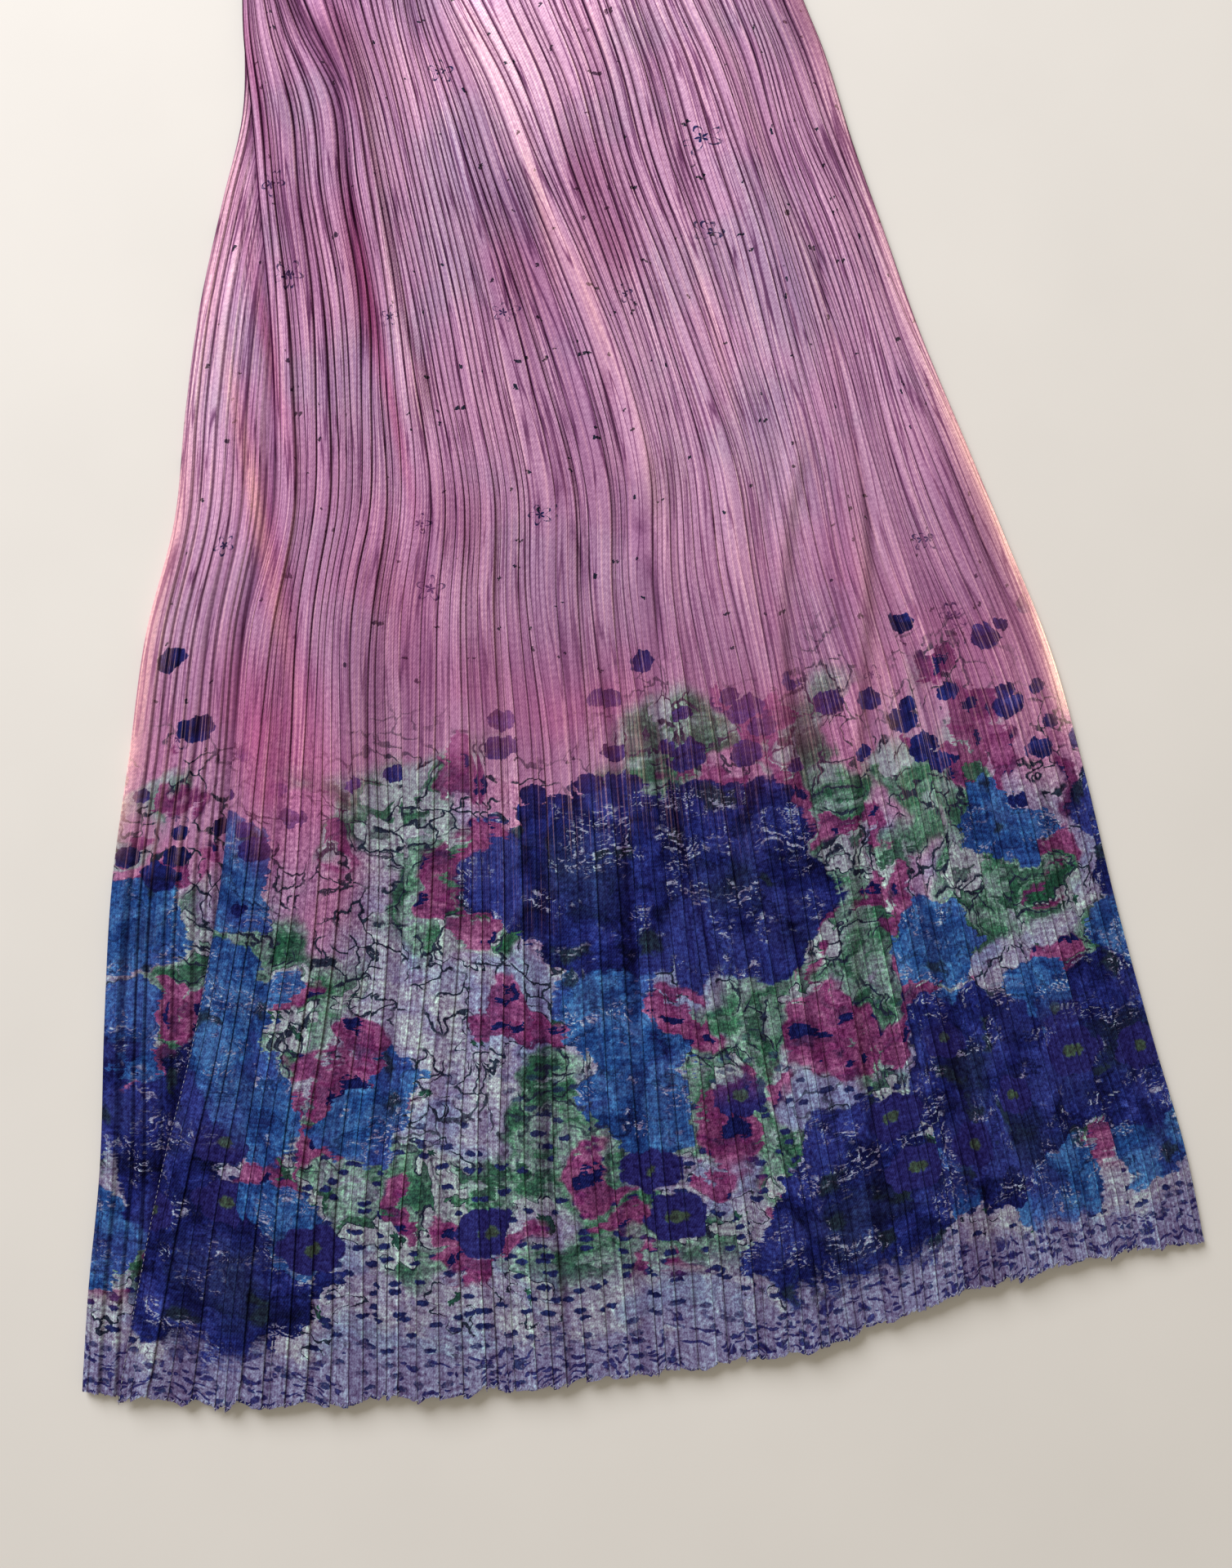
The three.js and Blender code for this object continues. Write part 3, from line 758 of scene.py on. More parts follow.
# motifs: their places, the size of a cell, petals, the least and most reach in shares of a cell,
# how deep the clefts are, how random the cells are, and the kind above which a motif shows
motifs = {
    "sprig": ("calm", 56, 5, (0.09, 0.13), 0.96, 0.7, 0.66),
    "speck": ("steady", 15, 2, (0.05, 0.11), 0.7, 1.0, 0.62),
    "leaf": ("wet", 19, 3, (0.4, 0.55), 0.55, 1.0, 0.62),
    "drawn": ("soaked", 34, 6, (0.36, 0.52), 0.45, 0.9, 0.45),
    "bloom": ("wet", 22, 5, (0.5, 0.75), 0.2, 0.85, None),
    "heart": ("soaked", 27, 5, (0.2, 0.36), 0.3, 1.0, 0.62),
    "medium": ("wet", 60, 5, (0.42, 0.66), 0.16, 0.9, 0.56),
    "patch": ("wet", 108, 6, (0.46, 0.72), 0.16, 0.9, 0.34),
    "bud": ("broadened", 20, 7, (0.18, 0.48), 0.12, 1.0, None),
    "oval": ("broadened", 33, 6, (0.34, 0.50), 0.14, 0.85, 0.66),
}
# fine veins run between cells of this size, and small marks sit in cells of their own
veinCell = 13
markCells = {"dash": ("dashed", 6), "tick": ("ticked", 3.6)}
twillSlant = math.radians(38)
# masks: what each reads, where it is least and where most, and how little and how much that is
# where it isn't 0 and 1. Height is over the hem, and wavy follows the border's uneven edge.
softMasks = {
    "lower": ("height", 540, 340, 0, 0.85), "aboveBorder": ("height", 270, 330),
    "broken": ("fine", 0.40, 0.52, 0.4, 1), "roseUnder": ("wavy", 540, 450, 0, 0.35),
    "roseWhere": ("blotch", 0.44, 0.62), "paleGround": ("wavy", 395, 315),
    "veil": ("veils", 0.50, 0.60, 0, 0.6), "lighter": ("veils", 0.48, 0.60, 0, 0.5),
    "leafArea": ("leafy", 0.47, 0.52), "leafFoot": ("height", 40, 70),
    "leafTop": ("wavy", 440, 405), "leafShape": ("leaf", 1.0, 0.85, 0, 0.85),
    "drawnBody": ("drawn", 1.0, 0.96, 0, 0.75), "veinLine": ("vein", 0.075, 0.04),
    "veinSome": ("veined", 0.44, 0.50), "veinTop": ("wavy", 480, 420),
    "veinFoot": ("height", 60, 170, 0.25, 1), "dashMark": ("dash", 0.30, 0.22),
    "dashZone": ("height", 200, 120), "clusterArea": ("clusters", 0.535, 0.555),
    "clusterFoot": ("height", 45, 60), "bloomBody": ("bloom", 1.05, 0.9, 0, 0.92),
    "edgeHairs": ("edges", 0.55, 0.62), "scratched": ("scratches", 0.50, 0.60),
    "heartSpot": ("heart", 1.1, 0.5, 0, 0.85), "budBody": ("bud", 1.0, 0.94),
    "ovalBody": ("oval", 1.0, 0.93), "ovalHeart": ("oval", 0.3, 0.2),
    "ovalZone": ("height", 160, 130), "ovalFoot": ("height", 44, 50),
    "hemBand": ("bandEdge", 68, 54, 0, 0.94), "tickMark": ("tick", 0.36, 0.26),
    "plainPart": ("wavy", 350, 440), "crushed": ("height", 230, 560, 0.4, 1),
    # crease: painted shade along the hairline creases
    "crease": ("nearMiddle", 0.0, 0.06, 0.3, 1), "warmStreak": ("streaks", 0.54, 0.66, 0, 0.2),
}
for size in ("medium", "patch"):
    softMasks.update({size + "Body": (size, 1.0, 0.95), size + "Heart": (size, 0.5, 0.1, 0, 0.45),
                      size + "Cleft": (size + "Lobe", 0.16, 0.05, 0, 0.55)})
evenMasks = {
    "thinning": ("budHeight", 400, 490, 0.15, 1.0), "tickZone": ("height", 8, 62, 0.3, 0.98),
    "bandTone": ("bands", 0.32, 0.62, 0.93, 1.07), "streakTone": ("streaks", 0.3, 0.7, 0.80, 1.20),
    "grainMuch": ("wavy", 350, 440, 2.7, 1.0), "fineMuch": ("wavy", 350, 440, 2.0, 0.25),
    "threads": ("weave", 0.45, 1.0, 0, 0.014), "threadTone": ("weave", 0, 1, 0.93, 1.07),
    # bright: the folds' painted highlight lightens the tone
    "bright": ("light", 0, 1, 1.0, 1.45),
}
sharpMasks = {
    "sprigLine": ("sprig", "COMPARE", 1.0, 0.10), "sprigHeart": ("sprig", "LESS_THAN", 0.42),
    "speckDot": ("speck", "LESS_THAN", 1.0), "drawnLine": ("drawn", "COMPARE", 1.0, 0.045),
    "drawnHeart": ("drawn", "LESS_THAN", 0.24), "bloomEye": ("bloom", "LESS_THAN", 0.26),
    "bloomTop": ("bloomHeight", "LESS_THAN", 420), "mediumTop": ("mediumHeight", "LESS_THAN", 400),
    "mediumFoot": ("mediumLevel", "GREATER_THAN", 50),
    "patchTop": ("patchHeight", "LESS_THAN", 375), "patchFoot": ("patchLevel", "GREATER_THAN", 58),
    "budFoot": ("budHeight", "GREATER_THAN", 385), "dashSome": ("dashKind", "GREATER_THAN", 0.42),
}
# the layers from the ground up: a paint or a dye, and the masks that place it together
printLayers = [
    ("lowMauve", "lower"),
    # small flowers of five petals, quickly drawn in ink, and specks, where the ground is plain
    ("ink", "sprigLine", "sprigSome", "aboveBorder", "broken"),
    ("ink", "sprigHeart", "sprigSome", "aboveBorder"),
    ("line", "speckDot", "speckSome", "aboveBorder"),
    # a rose wash along the border's upper edge, its pale ground, and thin veils over that
    ("rose", "roseUnder", "roseWhere"),
    ("paleWash", "paleGround"),
    ("veil", "veil", "paleGround"),
    # leaf patches, and open flowers drawn in line on them and on the pale ground
    ("leafWash", "leafArea", "leafFoot", "leafTop"),
    ("bottleGreen", "leafShape", "leafSome", "leafArea", "leafFoot", "leafTop"),
    ("palest", "drawnBody", "drawnSome", "leafArea", "leafTop"),
    ("line", "drawnLine", "drawnSome", "leafTop", "paleGround"),
    ("leafDark", "drawnHeart", "drawnSome", "leafTop", "paleGround"),
    # fine dark veins, and short dashes towards the hem
    ("line", "veinLine", "veinSome", "veinTop", "veinFoot"),
    ("ink", "dashMark", "dashSome", "dashZone"),
    # magenta blooms in clusters, each with a dark blue eye
    ("bloomWash", "bloomBody", "clusterArea", "clusterFoot", "bloomTop"),
    ("navy", "bloomEye", "clusterArea", "clusterFoot", "bloomTop"),
]
# blue blooms, the medium ones bright and the large ones nearly black at heart
for size, paint, heart in [("medium", "brightWash", "ink"), ("patch", "darkWash", "oliveDark")]:
    where = [size + part for part in ("Body", "Some", "Top", "Foot")]
    printLayers += [
        (paint, *where), ("violetBlue", "lighter", *where), (heart, size + "Heart", *where),
        ("deepNavy", size + "Cleft", *where), ("oliveDark", "heartSpot", "heartSome", *where),
        ("scratch", "edgeHairs", "scratched", *where),
    ]
printLayers += [
    # round buds rise out of the border, and ovals stand along its foot
    ("darkWash", "budBody", "budSome", "budFoot"),
    ("violetNavy", "ovalBody", "ovalSome", "ovalZone", "ovalFoot"),
    ("olive", "ovalHeart", "ovalSome", "ovalZone", "ovalFoot"),
    # the lilac hem band comes in unevenly, with dark flecks
    ("lilac", "hemBand"),
    ("ink", "hemBand", "dashMark", "dashSome", "broken"),
    ("violetNavy", "hemBand", "tickMark", "tickSome"),
    # above the border: the dye's rose patches, with a purple tint from the painted shade, salmon
    # highlights painted along folds and edges, and salmon streaks of the dye
    ("rose", "rose", "plainPart"),
    ("salmon", "salmon", "plainPart"),
    ("salmon", "warmStreak", "plainPart"),
    # the weave's pale threads
    ("palest", "threads"),
]


# Flowers in the cells of a net: how far each point is out along its petal, 1 at the tip's edge,
# the cell's random parts, and how near the point is to the middle of a petal
def flowerCells(tree, place, cell, petals, reachShare, cleft, randomness):
    net = put(tree, "ShaderNodeTexVoronoi", {"Vector": place, "Scale": 1 / cell,
                                             "Randomness": randomness}, voronoi_dimensions="2D")
    parts = put(tree, "ShaderNodeSeparateColor", {0: net.outputs["Color"]})
    away = put(tree, "ShaderNodeVectorMath", {0: place, 1: net.outputs["Position"]},
               operation="SUBTRACT")
    axes = put(tree, "ShaderNodeSeparateXYZ", {0: away})
    far = put(tree, "ShaderNodeMath", {0: net.outputs["Distance"], 1: cell}, operation="MULTIPLY")
    angle = put(tree, "ShaderNodeMath", {0: axes.outputs["Y"], 1: axes.outputs["X"]},
                operation="ARCTAN2")
    turned = put(tree, "ShaderNodeMath", {0: parts.outputs["Blue"], 1: 6.3, 2: angle},
                 operation="MULTIPLY_ADD")
    beat = put(tree, "ShaderNodeMath", {0: turned, 1: petals / 2}, operation="MULTIPLY")
    wave = put(tree, "ShaderNodeMath", {0: beat}, operation="COSINE")
    lobe = put(tree, "ShaderNodeMath", {0: wave}, operation="ABSOLUTE")
    size = put(tree, "ShaderNodeMapRange", {0: parts.outputs["Green"],
                                            3: reachShare[0] * cell, 4: reachShare[1] * cell})
    petal = put(tree, "ShaderNodeMapRange", {0: lobe, 3: 1 - cleft, 4: 1.0})
    reach = put(tree, "ShaderNodeMath", {0: size, 1: petal}, operation="MULTIPLY")
    out = put(tree, "ShaderNodeMath", {0: far, 1: reach}, operation="DIVIDE")
    return {"": out, "Kind": parts.outputs["Red"], "Lobe": lobe,
            "Middle": net.outputs["Position"]}


# Height over the hem, measured from a line that rises and falls as the border's edge does
def borderHeight(tree, spot):
    patchy = put(tree, "ShaderNodeTexNoise", {"Vector": spot, "Scale": 1 / 70, "Detail": 2.0},
                 noise_dimensions="2D")
    height = put(tree, "ShaderNodeSeparateXYZ", {0: spot}).outputs["Y"]
    return put(tree, "ShaderNodeMath", {0: patchy, 1: 190.0, 2: height}, operation="MULTIPLY_ADD")


# Everything that the print's masks read, by name
def printReadings(tree, place):
    found = {"height": put(tree, "ShaderNodeSeparateXYZ", {0: place}).outputs["Y"],
             "wavy": borderHeight(tree, place)}
    # line, light and tone bring the meshes' painted shade and highlights
    for mark in ("line", "light", "tone", "salmon", "rose", "across"):
        found[mark] = put(tree, "ShaderNodeAttribute", attribute_name=mark).outputs["Fac"]

    # the brush's hairs are drawn out sideways
    sideways = put(tree, "ShaderNodeVectorMath", {0: place, 1: (1 / 9, 1 / 1.7, 1)},
                   operation="MULTIPLY")
    off = {}
    for name, start, scale, detail, roughness in [
            ("broad", place, 1 / 40, 3.0, 0.6), ("fine", place, 1 / 3.4, 3.0, 0.65),
            ("hairs", sideways, 1.0, 2.0, 0.5)]:
        noise = put(tree, "ShaderNodeTexNoise", {"Vector": start, "Scale": scale,
                                                 "Detail": detail, "Roughness": roughness})
        off[name] = put(tree, "ShaderNodeVectorMath",
                        {0: noise.outputs["Color"], 1: (0.5, 0.5, 0.5)}, operation="SUBTRACT")
        found[name] = noise
    spots = {"still": place}
    for name, (noise, far, start) in shakes.items():
        spots[name] = put(tree, "ShaderNodeVectorMath",
                          {0: off[noise], 1: far, 2: spots[start]}, operation="MULTIPLY_ADD")
    for name, (start, share) in stretches.items():
        spots[name] = put(tree, "ShaderNodeVectorMath", {0: spots[start], 1: (share, 1, 1)},
                          operation="MULTIPLY")

    for name, (start, blotch, detail, roughness, cut) in dyeNoise.items():
        ownSlice = {"W": cut} if cut else {}
        found[name] = put(tree, "ShaderNodeTexNoise",
                          {"Vector": spots[start], "Scale": 1 / blotch, "Detail": detail,
                           "Roughness": roughness, **ownSlice},
                          noise_dimensions="4D" if cut else "3D")
    found["bandEdge"] = put(tree, "ShaderNodeMath",
                            {0: found["wash"], 1: 70.0, 2: found["height"]},
                            operation="MULTIPLY_ADD")
    for name, (start, *shape, least) in motifs.items():
        for part, socket in flowerCells(tree, spots[start], *shape).items():
            found[name + part] = socket
    for name in ("bloom", "medium", "patch", "bud"):
        found[name + "Height"] = borderHeight(tree, found[name + "Middle"])
    for name in ("medium", "patch"):
        found[name + "Level"] = put(tree, "ShaderNodeSeparateXYZ",
                                    {0: found[name + "Middle"]}).outputs["Y"]
    found["vein"] = put(tree, "ShaderNodeTexVoronoi",
                        {"Vector": spots["soaked"], "Scale": 1 / veinCell},
                        feature="DISTANCE_TO_EDGE", voronoi_dimensions="2D")
    for name, (start, cell) in markCells.items():
        marks = put(tree, "ShaderNodeTexVoronoi", {"Vector": spots[start], "Scale": 1 / cell},
                    voronoi_dimensions="2D")
        parts = put(tree, "ShaderNodeSeparateColor", {0: marks.outputs["Color"]})
        found[name], found[name + "Kind"] = marks, parts.outputs["Red"]

    # streaks along the pleats, where the cloth is crushed, and hairline creases of painted shade
    # where the broad ones cross their middle value
    streakPlace = put(tree, "ShaderNodeCombineXYZ", {0: found["across"]})
    lengthwise = put(tree, "ShaderNodeVectorMath", {0: place, 1: (0, 1 / 300, 0), 2: streakPlace},
                     operation="MULTIPLY_ADD")
    hairStretch = put(tree, "ShaderNodeVectorMath", {0: lengthwise, 1: (3.2, 1, 1)},
                      operation="MULTIPLY")
    for name, start, detail in [("bands", lengthwise, 1.0), ("streaks", hairStretch, 2.0)]:
        found[name] = put(tree, "ShaderNodeTexNoise",
                          {"Vector": start, "Scale": 2.4, "Detail": detail},
                          noise_dimensions="2D")
    offMiddle = put(tree, "ShaderNodeMath", {0: found["bands"], 1: 0.5}, operation="SUBTRACT")
    found["nearMiddle"] = put(tree, "ShaderNodeMath", {0: offMiddle}, operation="ABSOLUTE")

    # the weave's twill shows as slanting threads, a little coarser than the real one
    slant = put(tree, "ShaderNodeMapping", {"Vector": place, "Rotation": (0, 0, twillSlant)})
    found["weave"] = put(tree, "ShaderNodeTexWave", {"Vector": slant, "Scale": 0.30,
                                                     "Distortion": 0.6, "Detail": 1.0})
    return found


# Sheer polyester, printed and heat-set in pleats: soft, half matt, with a slanting weave
def printedCloth():
    material, tree = newMaterial("sheer_polyester_plisse")
    grid = put(tree, "ShaderNodeUVMap", uv_map="print")
    place = put(tree, "ShaderNodeVectorMath", {0: grid, 3: 1 / mm}, operation="SCALE")
    found = printReadings(tree, place)

    masks = {"rose": found["rose"], "salmon": found["salmon"]}
    for curve, table in [("SMOOTHSTEP", softMasks), ("LINEAR", evenMasks)]:
        for name, (reading, low, high, *span) in table.items():
            least, most = span or (0, 1)
            masks[name] = put(tree, "ShaderNodeMapRange", {0: found[reading], 1: low, 2: high,
                                                           3: least, 4: most},
                              interpolation_type=curve)
    for name, (reading, how, *limits) in sharpMasks.items():
        masks[name] = put(tree, "ShaderNodeMath", dict(enumerate([found[reading], *limits])),
                          operation=how)
    shows = {name: row[-1] for name, row in motifs.items() if row[-1]}
    for name, least in {**shows, "bud": masks["thinning"], "tick": masks["tickZone"]}.items():
        masks[name + "Some"] = put(tree, "ShaderNodeMath", {0: found[name + "Kind"], 1: least},
                                   operation="GREATER_THAN")

    ramps = {}
    for name, stops in paints.items():
        reading = found["blotch" if name == "ground" else "wash"]
        ramps[name] = put(tree, "ShaderNodeValToRGB", {0: reading},
                          [(where, dyes[paint]) for where, paint in stops])
    colour = ramps["ground"]
    for paint, first, *others in printLayers:
        where = masks[first]
        for name in others:
            where = put(tree, "ShaderNodeMath", {0: where, 1: masks[name]}, operation="MULTIPLY")
        colour = put(tree, "ShaderNodeMix", {0: where, 6: colour,
                                             7: ramps.get(paint) or dyes[paint]},
                     data_type="RGBA")

    # tones: streaks with hairline creases of painted shade, each strip's own with its painted
    # light and shade, painted highlights on the folds, grain of the dye and threads
    bothTones = put(tree, "ShaderNodeMath", {0: masks["bandTone"], 1: masks["streakTone"]},
                    operation="MULTIPLY")
    allTones = put(tree, "ShaderNodeMath", {0: bothTones, 1: masks["crease"]},
                   operation="MULTIPLY")
    tone = put(tree, "ShaderNodeMix", {0: masks["crushed"], 2: 1.0, 3: allTones},
               data_type="FLOAT")
    grains = []
    for name in ("grain", "fine"):
        side = put(tree, "ShaderNodeMath", {0: found[name], 1: 0.5}, operation="SUBTRACT")
        grains.append(put(tree, "ShaderNodeMath", {0: side, 1: masks[name + "Much"], 2: 1.0},
                          operation="MULTIPLY_ADD"))
    for part in (found["tone"], masks["bright"], *grains, masks["threadTone"]):
        tone = put(tree, "ShaderNodeMath", {0: tone, 1: part}, operation="MULTIPLY")
    # where the tone is darker, from the dye and from painted shade, the colour is more violet, as
    # green drops sooner than red and blue
    greenTone = put(tree, "ShaderNodeMath", {0: tone, 1: 1.38}, operation="POWER")
    dyeAndShadeTone = put(tree, "ShaderNodeCombineXYZ", {0: tone, 1: greenTone, 2: tone})
    # the valleys' painted shade is plum rather than black, as light comes through the cloth
    dark = put(tree, "ShaderNodeMix", {0: found["line"], 6: (1, 1, 1, 1),
                                       7: (0.12, 0.015, 0.10, 1)}, data_type="RGBA")
    lined = put(tree, "ShaderNodeVectorMath", {0: colour, 1: dark}, operation="MULTIPLY")
    shaded = put(tree, "ShaderNodeVectorMath", {0: lined, 1: dyeAndShadeTone}, operation="MULTIPLY")

    crushRelief = put(tree, "ShaderNodeMath", {0: bothTones, 1: 4.0}, operation="MULTIPLY")
    relief = put(tree, "ShaderNodeMath", {0: found["weave"], 1: 0.35, 2: crushRelief},
                 operation="MULTIPLY_ADD")
    finishSurface(tree, relief, 0.5, 0.2,
                  {"Base Color": shaded, "Roughness": 0.5, "Specular IOR Level": 0.03})
    return material


# The same cloth gathered on its elastic, unprinted and matt
def gatheredCloth():
    material, tree = newMaterial("gathered_polyester_band")
    spot = put(tree, "ShaderNodeTexCoord").outputs["Object"]
    inMm = put(tree, "ShaderNodeVectorMath", {0: spot, 3: 1 / mm}, operation="SCALE")
    blotch = put(tree, "ShaderNodeTexNoise", {"Vector": inMm, "Scale": 1 / 40, "Detail": 3.0})
    ground = put(tree, "ShaderNodeValToRGB", {0: blotch},
                 [(0.35, dyes["violet"]), (0.65, dyes["mauve"])])
    lengthwise = put(tree, "ShaderNodeVectorMath", {0: inMm, 1: (1, 0.05, 1)},
                     operation="MULTIPLY")
    crush = put(tree, "ShaderNodeTexNoise", {"Vector": lengthwise, "Scale": 0.8, "Detail": 2.0})
    # painted shade: the cloth is darker where the crinkles' relief sinks
    tone = put(tree, "ShaderNodeMapRange", {0: crush, 1: 0.3, 2: 0.65, 3: 0.62, 4: 1.12})
    shaded = put(tree, "ShaderNodeVectorMath", {0: ground, 3: tone}, operation="SCALE")
    slant = put(tree, "ShaderNodeMapping", {"Vector": inMm, "Rotation": (0, 0, twillSlant)})
    weave = put(tree, "ShaderNodeTexWave", {"Vector": slant, "Scale": 0.30, "Distortion": 0.6})
    relief = put(tree, "ShaderNodeMath", {0: crush, 1: 3.0, 2: weave}, operation="MULTIPLY_ADD")
    finishSurface(tree, relief, 0.5, 0.2, {"Base Color": shaded, "Roughness": 0.65,
                                           "Sheen Weight": 0.15, "Specular IOR Level": 0.3})
    return material


# Polyester sewing thread: twisted, a little shiny
def threadMaterial():
    material, tree = newMaterial("polyester_thread")
    spot = put(tree, "ShaderNodeTexCoord").outputs["Object"]
    twist = put(tree, "ShaderNodeTexWave", {"Vector": spot, "Scale": 130.0, "Distortion": 1.0})
    # painted highlight: the thread is paler on the twist's ridges
    colour = put(tree, "ShaderNodeValToRGB", {0: twist},
                 [(0.2, dyes["lilac"]), (0.8, dyes["palest"])])
    finishSurface(tree, twist, 0.4, 0.1, {"Base Color": colour, "Roughness": 0.45})
    return material


# Rows of stitches along paths, each a plump bead of thread laid along the path or across it
stitches = {
    "thread": 0.42,      # thickness as it shows, a little more than the real 0.25
    "sides": 6,
    "bands": 4,
    "hem": {"long": 2.4, "step": 2.2, "lean": 56, "inset": 1.0, "proud": 0.25},
    "seam": {"long": 1.9, "step": 2.9, "lean": 0, "below": -150, "proud": 0.15},
    "waist": {"long": 2.2, "step": 3.1, "lean": 0, "inset": 3.0, "proud": 0.1},
}


def stitchTree(material):
    tree = bpy.data.node_groups.new("stitch_row", "GeometryNodeTree")
    tree.interface.new_socket("Path", in_out="INPUT", socket_type="NodeSocketGeometry")
    for name in ("Stitch length", "Step", "Lean"):
        tree.interface.new_socket(name, in_out="INPUT", socket_type="NodeSocketFloat")
    tree.interface.new_socket("Stitches", in_out="OUTPUT", socket_type="NodeSocketGeometry")
    given = put(tree, "NodeGroupInput")
    curve = put(tree, "GeometryNodeMeshToCurve", {0: given.outputs["Path"]})
    points = put(tree, "GeometryNodeCurveToPoints", {"Curve": curve,
                                                     "Length": given.outputs["Step"]},
                 mode="LENGTH")
    bead = put(tree, "GeometryNodeMeshUVSphere", {"Segments": stitches["sides"],
                                                  "Rings": stitches["bands"], "Radius": 0.5})
    size = put(tree, "ShaderNodeCombineXYZ", {0: stitches["thread"] * mm,
                                              1: stitches["thread"] * mm,
                                              2: given.outputs["Stitch length"]})
    laid = put(tree, "GeometryNodeInstanceOnPoints",
               {"Points": points, "Instance": bead, "Rotation": points.outputs["Rotation"],
                "Scale": size})
    number = put(tree, "GeometryNodeInputIndex")
    odd = put(tree, "ShaderNodeMath", {0: number, 1: 2.0}, operation="MODULO")
    side = put(tree, "ShaderNodeMath", {0: odd, 1: 2.0, 2: -1.0}, operation="MULTIPLY_ADD")
    lean = put(tree, "ShaderNodeMath", {0: side, 1: given.outputs["Lean"]},
               operation="MULTIPLY")
    turn = put(tree, "ShaderNodeCombineXYZ", {2: lean})
    middle = put(tree, "GeometryNodeInputPosition")
    leaned = put(tree, "GeometryNodeRotateInstances", {"Instances": laid, "Rotation": turn,
                                                       "Pivot Point": middle,
                                                       "Local Space": False})
    real = put(tree, "GeometryNodeRealizeInstances", {0: leaned})
    done = put(tree, "GeometryNodeSetMaterial", {"Geometry": real, "Material": material})
    put(tree, "NodeGroupOutput", {0: done})
    return tree


def stitchRow(name, paths, sizes, tree):
    points, edges = [], []
    for path in paths:
        edges += [(len(points) + step, len(points) + step + 1) for step in range(len(path) - 1)]
        points += [tuple(value * mm for value in point) for point in path]
    mesh = bpy.data.meshes.new(name)
    mesh.from_pydata(points, edges, [])
    holder = newObject(name + "_path", mesh)
    modifier = holder.modifiers.new("stitches", "NODES")
    modifier.node_group = tree
    values = {"Stitch length": sizes["long"] * mm, "Step": sizes["step"] * mm,
              "Lean": math.radians(sizes["lean"])}
    for item in tree.interface.items_tree:
        if item.in_out == "INPUT" and item.name in values:
            modifier[item.identifier] = values[item.name]
    ready = holder.evaluated_get(bpy.context.evaluated_depsgraph_get())
    made = bpy.data.meshes.new_from_object(ready)
    made.name = name
    made.polygons.foreach_set("use_smooth", np.ones(len(made.polygons), bool))
    bpy.data.objects.remove(holder)
    return newObject(name, made)


def stitchPieces(edges):
    tree = stitchTree(threadMaterial())
    hemRow, seamRow, waistRow = stitches["hem"], stitches["seam"], stitches["waist"]
    hemPath = [(x, y + hemRow["inset"], z + hemRow["proud"])
               for x, y, z in zip(edges["hemX"][::3], edges["hemY"][::3], edges["hemZ"][::3])]
    seamPath = [(x + 0.5, y, z + seamRow["proud"])
                for x, y, z, level in zip(edges["seamX"], edges["seamY"], edges["seamZ"],
                                          edges["levels"]) if level < seamRow["below"]]
    bandTop = 2 * band["wall"] + band["hollow"]
    ends = outline["left"][0] + 3, outline["right"][0] - 3
    waistPaths = [[(x, y, bandTop + waistRow["proud"]) for x in ends]
                  for y in (band["top"] - waistRow["inset"], band["bottom"] + waistRow["inset"])]
    return [stitchRow("hem_stitches", [hemPath], hemRow, tree),
            stitchRow("seam_stitches", [seamPath], seamRow, tree),
            stitchRow("waist_stitches", waistPaths, waistRow, tree)]


# The pale surface that the skirt lies on, a window beyond its waist, and the room's soft light
stage = {"side": 6.0, "below": 0.3, "colour": "#e6e3dc"}
lamp = {"place": (-1.3, 2.9, 1.9), "size": 2.0, "power": 186, "aim": (0.0, -0.1, 0.0),
        "colour": "#f8f8ff"}
room = {"colour": "#fff4e2", "strength": 0.37}
camera = {"centre": (15.5, -88.5), "viewHeight": 864, "lens": 28, "sensor": 36, "roll": -6}


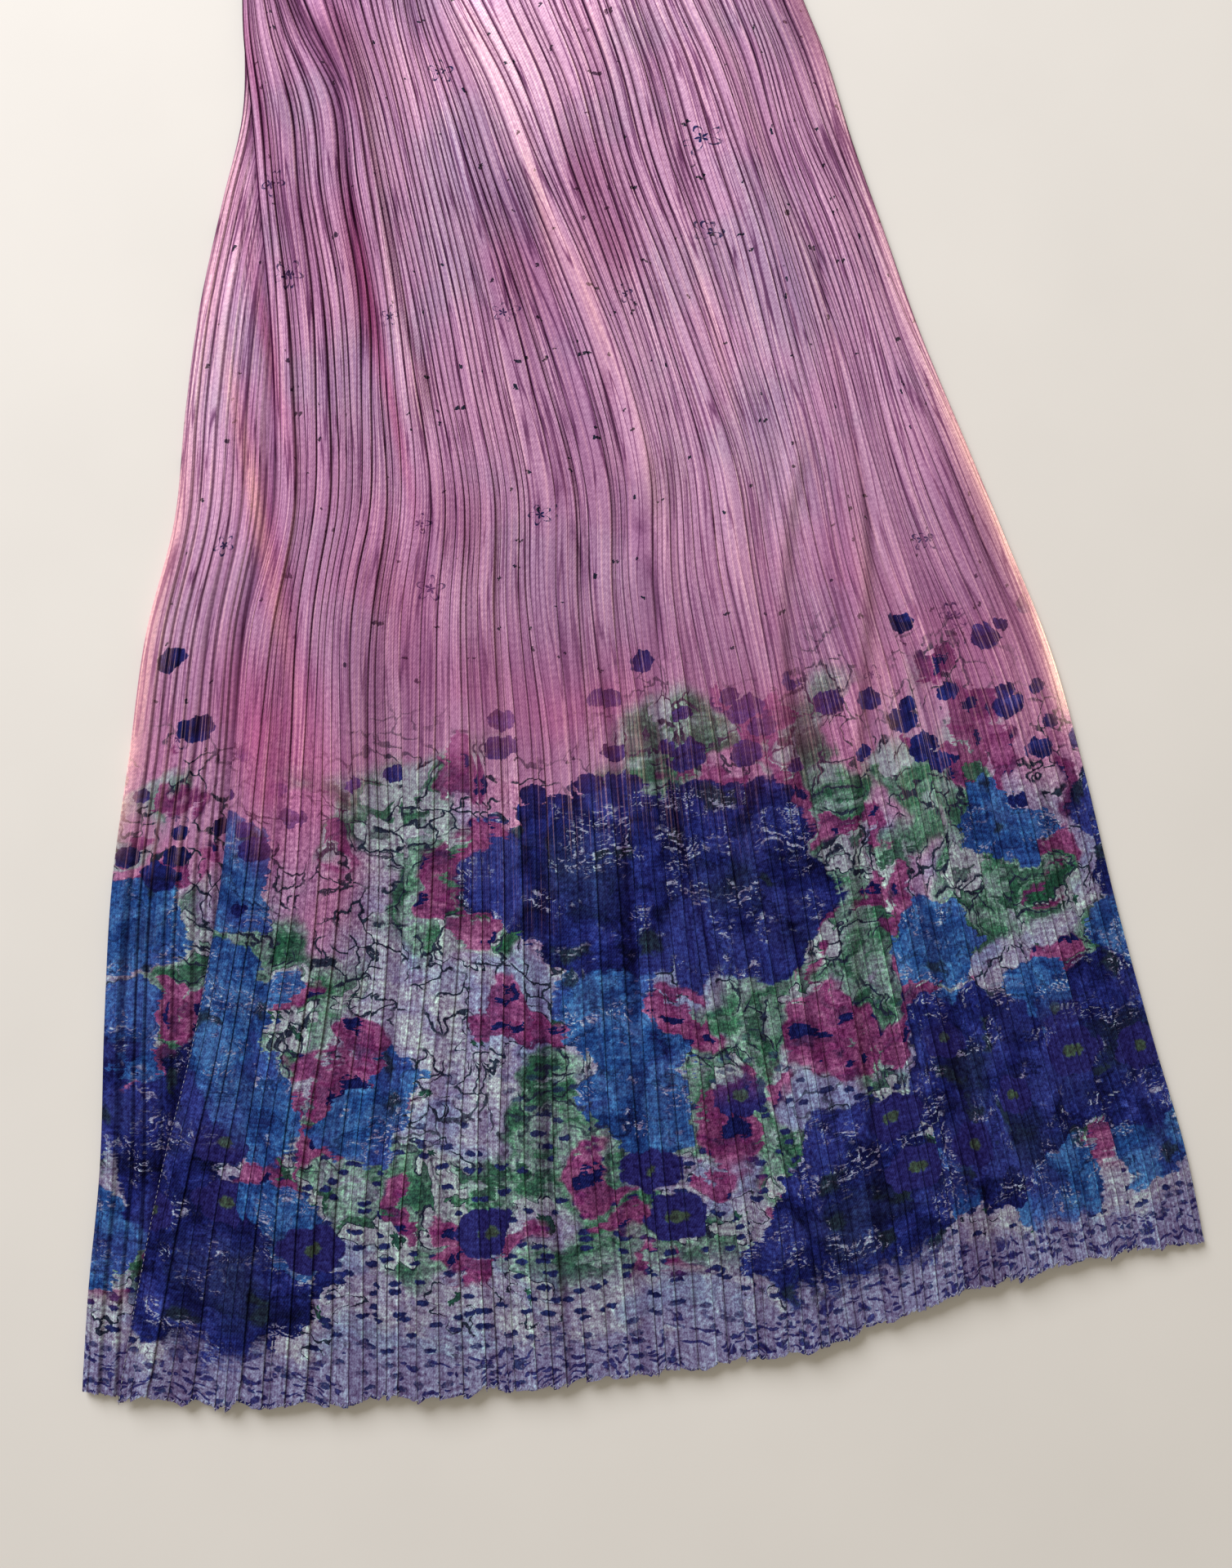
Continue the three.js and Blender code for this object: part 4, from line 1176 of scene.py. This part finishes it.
def makeStage():
    side = stage["side"] / 2
    mesh = bpy.data.meshes.new("table_top")
    low = -stage["below"] * mm
    mesh.from_pydata([(-side, -side, low), (side, -side, low), (side, side, low),
                      (-side, side, low)], [], [(0, 1, 2, 3)])
    top = newObject("table_top", mesh)
    material, tree = newMaterial("matt_painted_board")
    spot = put(tree, "ShaderNodeTexCoord").outputs["Object"]
    mottle = put(tree, "ShaderNodeTexNoise", {"Vector": spot, "Scale": 9.0, "Detail": 3.0})
    tone = put(tree, "ShaderNodeMapRange", {0: mottle, 1: 0.3, 2: 0.7, 3: 0.985, 4: 1.015})
    colour = put(tree, "ShaderNodeVectorMath", {0: dye(stage["colour"])[:3], 3: tone},
                 operation="SCALE")
    surface = put(tree, "ShaderNodeBsdfPrincipled", {"Base Color": colour, "Roughness": 0.75})
    put(tree, "ShaderNodeOutputMaterial", {"Surface": surface})
    mesh.materials.append(material)


def makeLight():
    light = bpy.data.lights.new("window", "AREA")
    light.shape = "SQUARE"
    light.size = lamp["size"]
    light.energy = lamp["power"]
    light.color = dye(lamp["colour"])[:3]
    holder = newObject("window", light)
    holder.location = lamp["place"]
    aim = Vector(lamp["aim"]) - Vector(lamp["place"])
    holder.rotation_euler = aim.to_track_quat("-Z", "Y").to_euler()
    world = bpy.data.worlds.new("room")
    world.use_nodes = True
    world.node_tree.nodes["Background"].inputs[0].default_value = dye(room["colour"])
    world.node_tree.nodes["Background"].inputs[1].default_value = room["strength"]
    bpy.context.scene.world = world
    bpy.context.scene.view_settings.view_transform = "Standard"


def makeCamera():
    data = bpy.data.cameras.new("above")
    data.sensor_fit = "VERTICAL"
    data.sensor_height = camera["sensor"]
    data.lens = camera["lens"]
    holder = newObject("above", data)
    away = camera["viewHeight"] * camera["lens"] / camera["sensor"]
    holder.location = [value * mm for value in (*camera["centre"], away)]
    holder.rotation_euler = (0, 0, math.radians(camera["roll"]))
    bpy.context.scene.camera = holder


makeCamera()
makeLight()
makeStage()
print("camera, light and table made")

frontPiece, frontEdges = frontCloth()
print("front cloth made:", len(frontPiece.data.polygons), "faces")
backPiece = backCloth()
print("back cloth made:", len(backPiece.data.polygons), "faces")
bandPiece = bandCloth()
print("waistband made:", len(bandPiece.data.polygons), "faces")

cloth = printedCloth()
frontPiece.data.materials.append(cloth)
backPiece.data.materials.append(cloth)
bandPiece.data.materials.append(gatheredCloth())
print("materials made")

sewn = stitchPieces(frontEdges)
print("stitches made:", [len(piece.data.polygons) for piece in sewn], "faces")

for piece, node, slot in [(frontPiece, "front_panel", "pleated_cloth"),
                          (backPiece, "back_panel", "pleated_cloth"),
                          (bandPiece, "waistband", "band_cloth")]:
    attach(piece, "root")
    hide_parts(node)
for piece in sewn:
    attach(piece, "root")
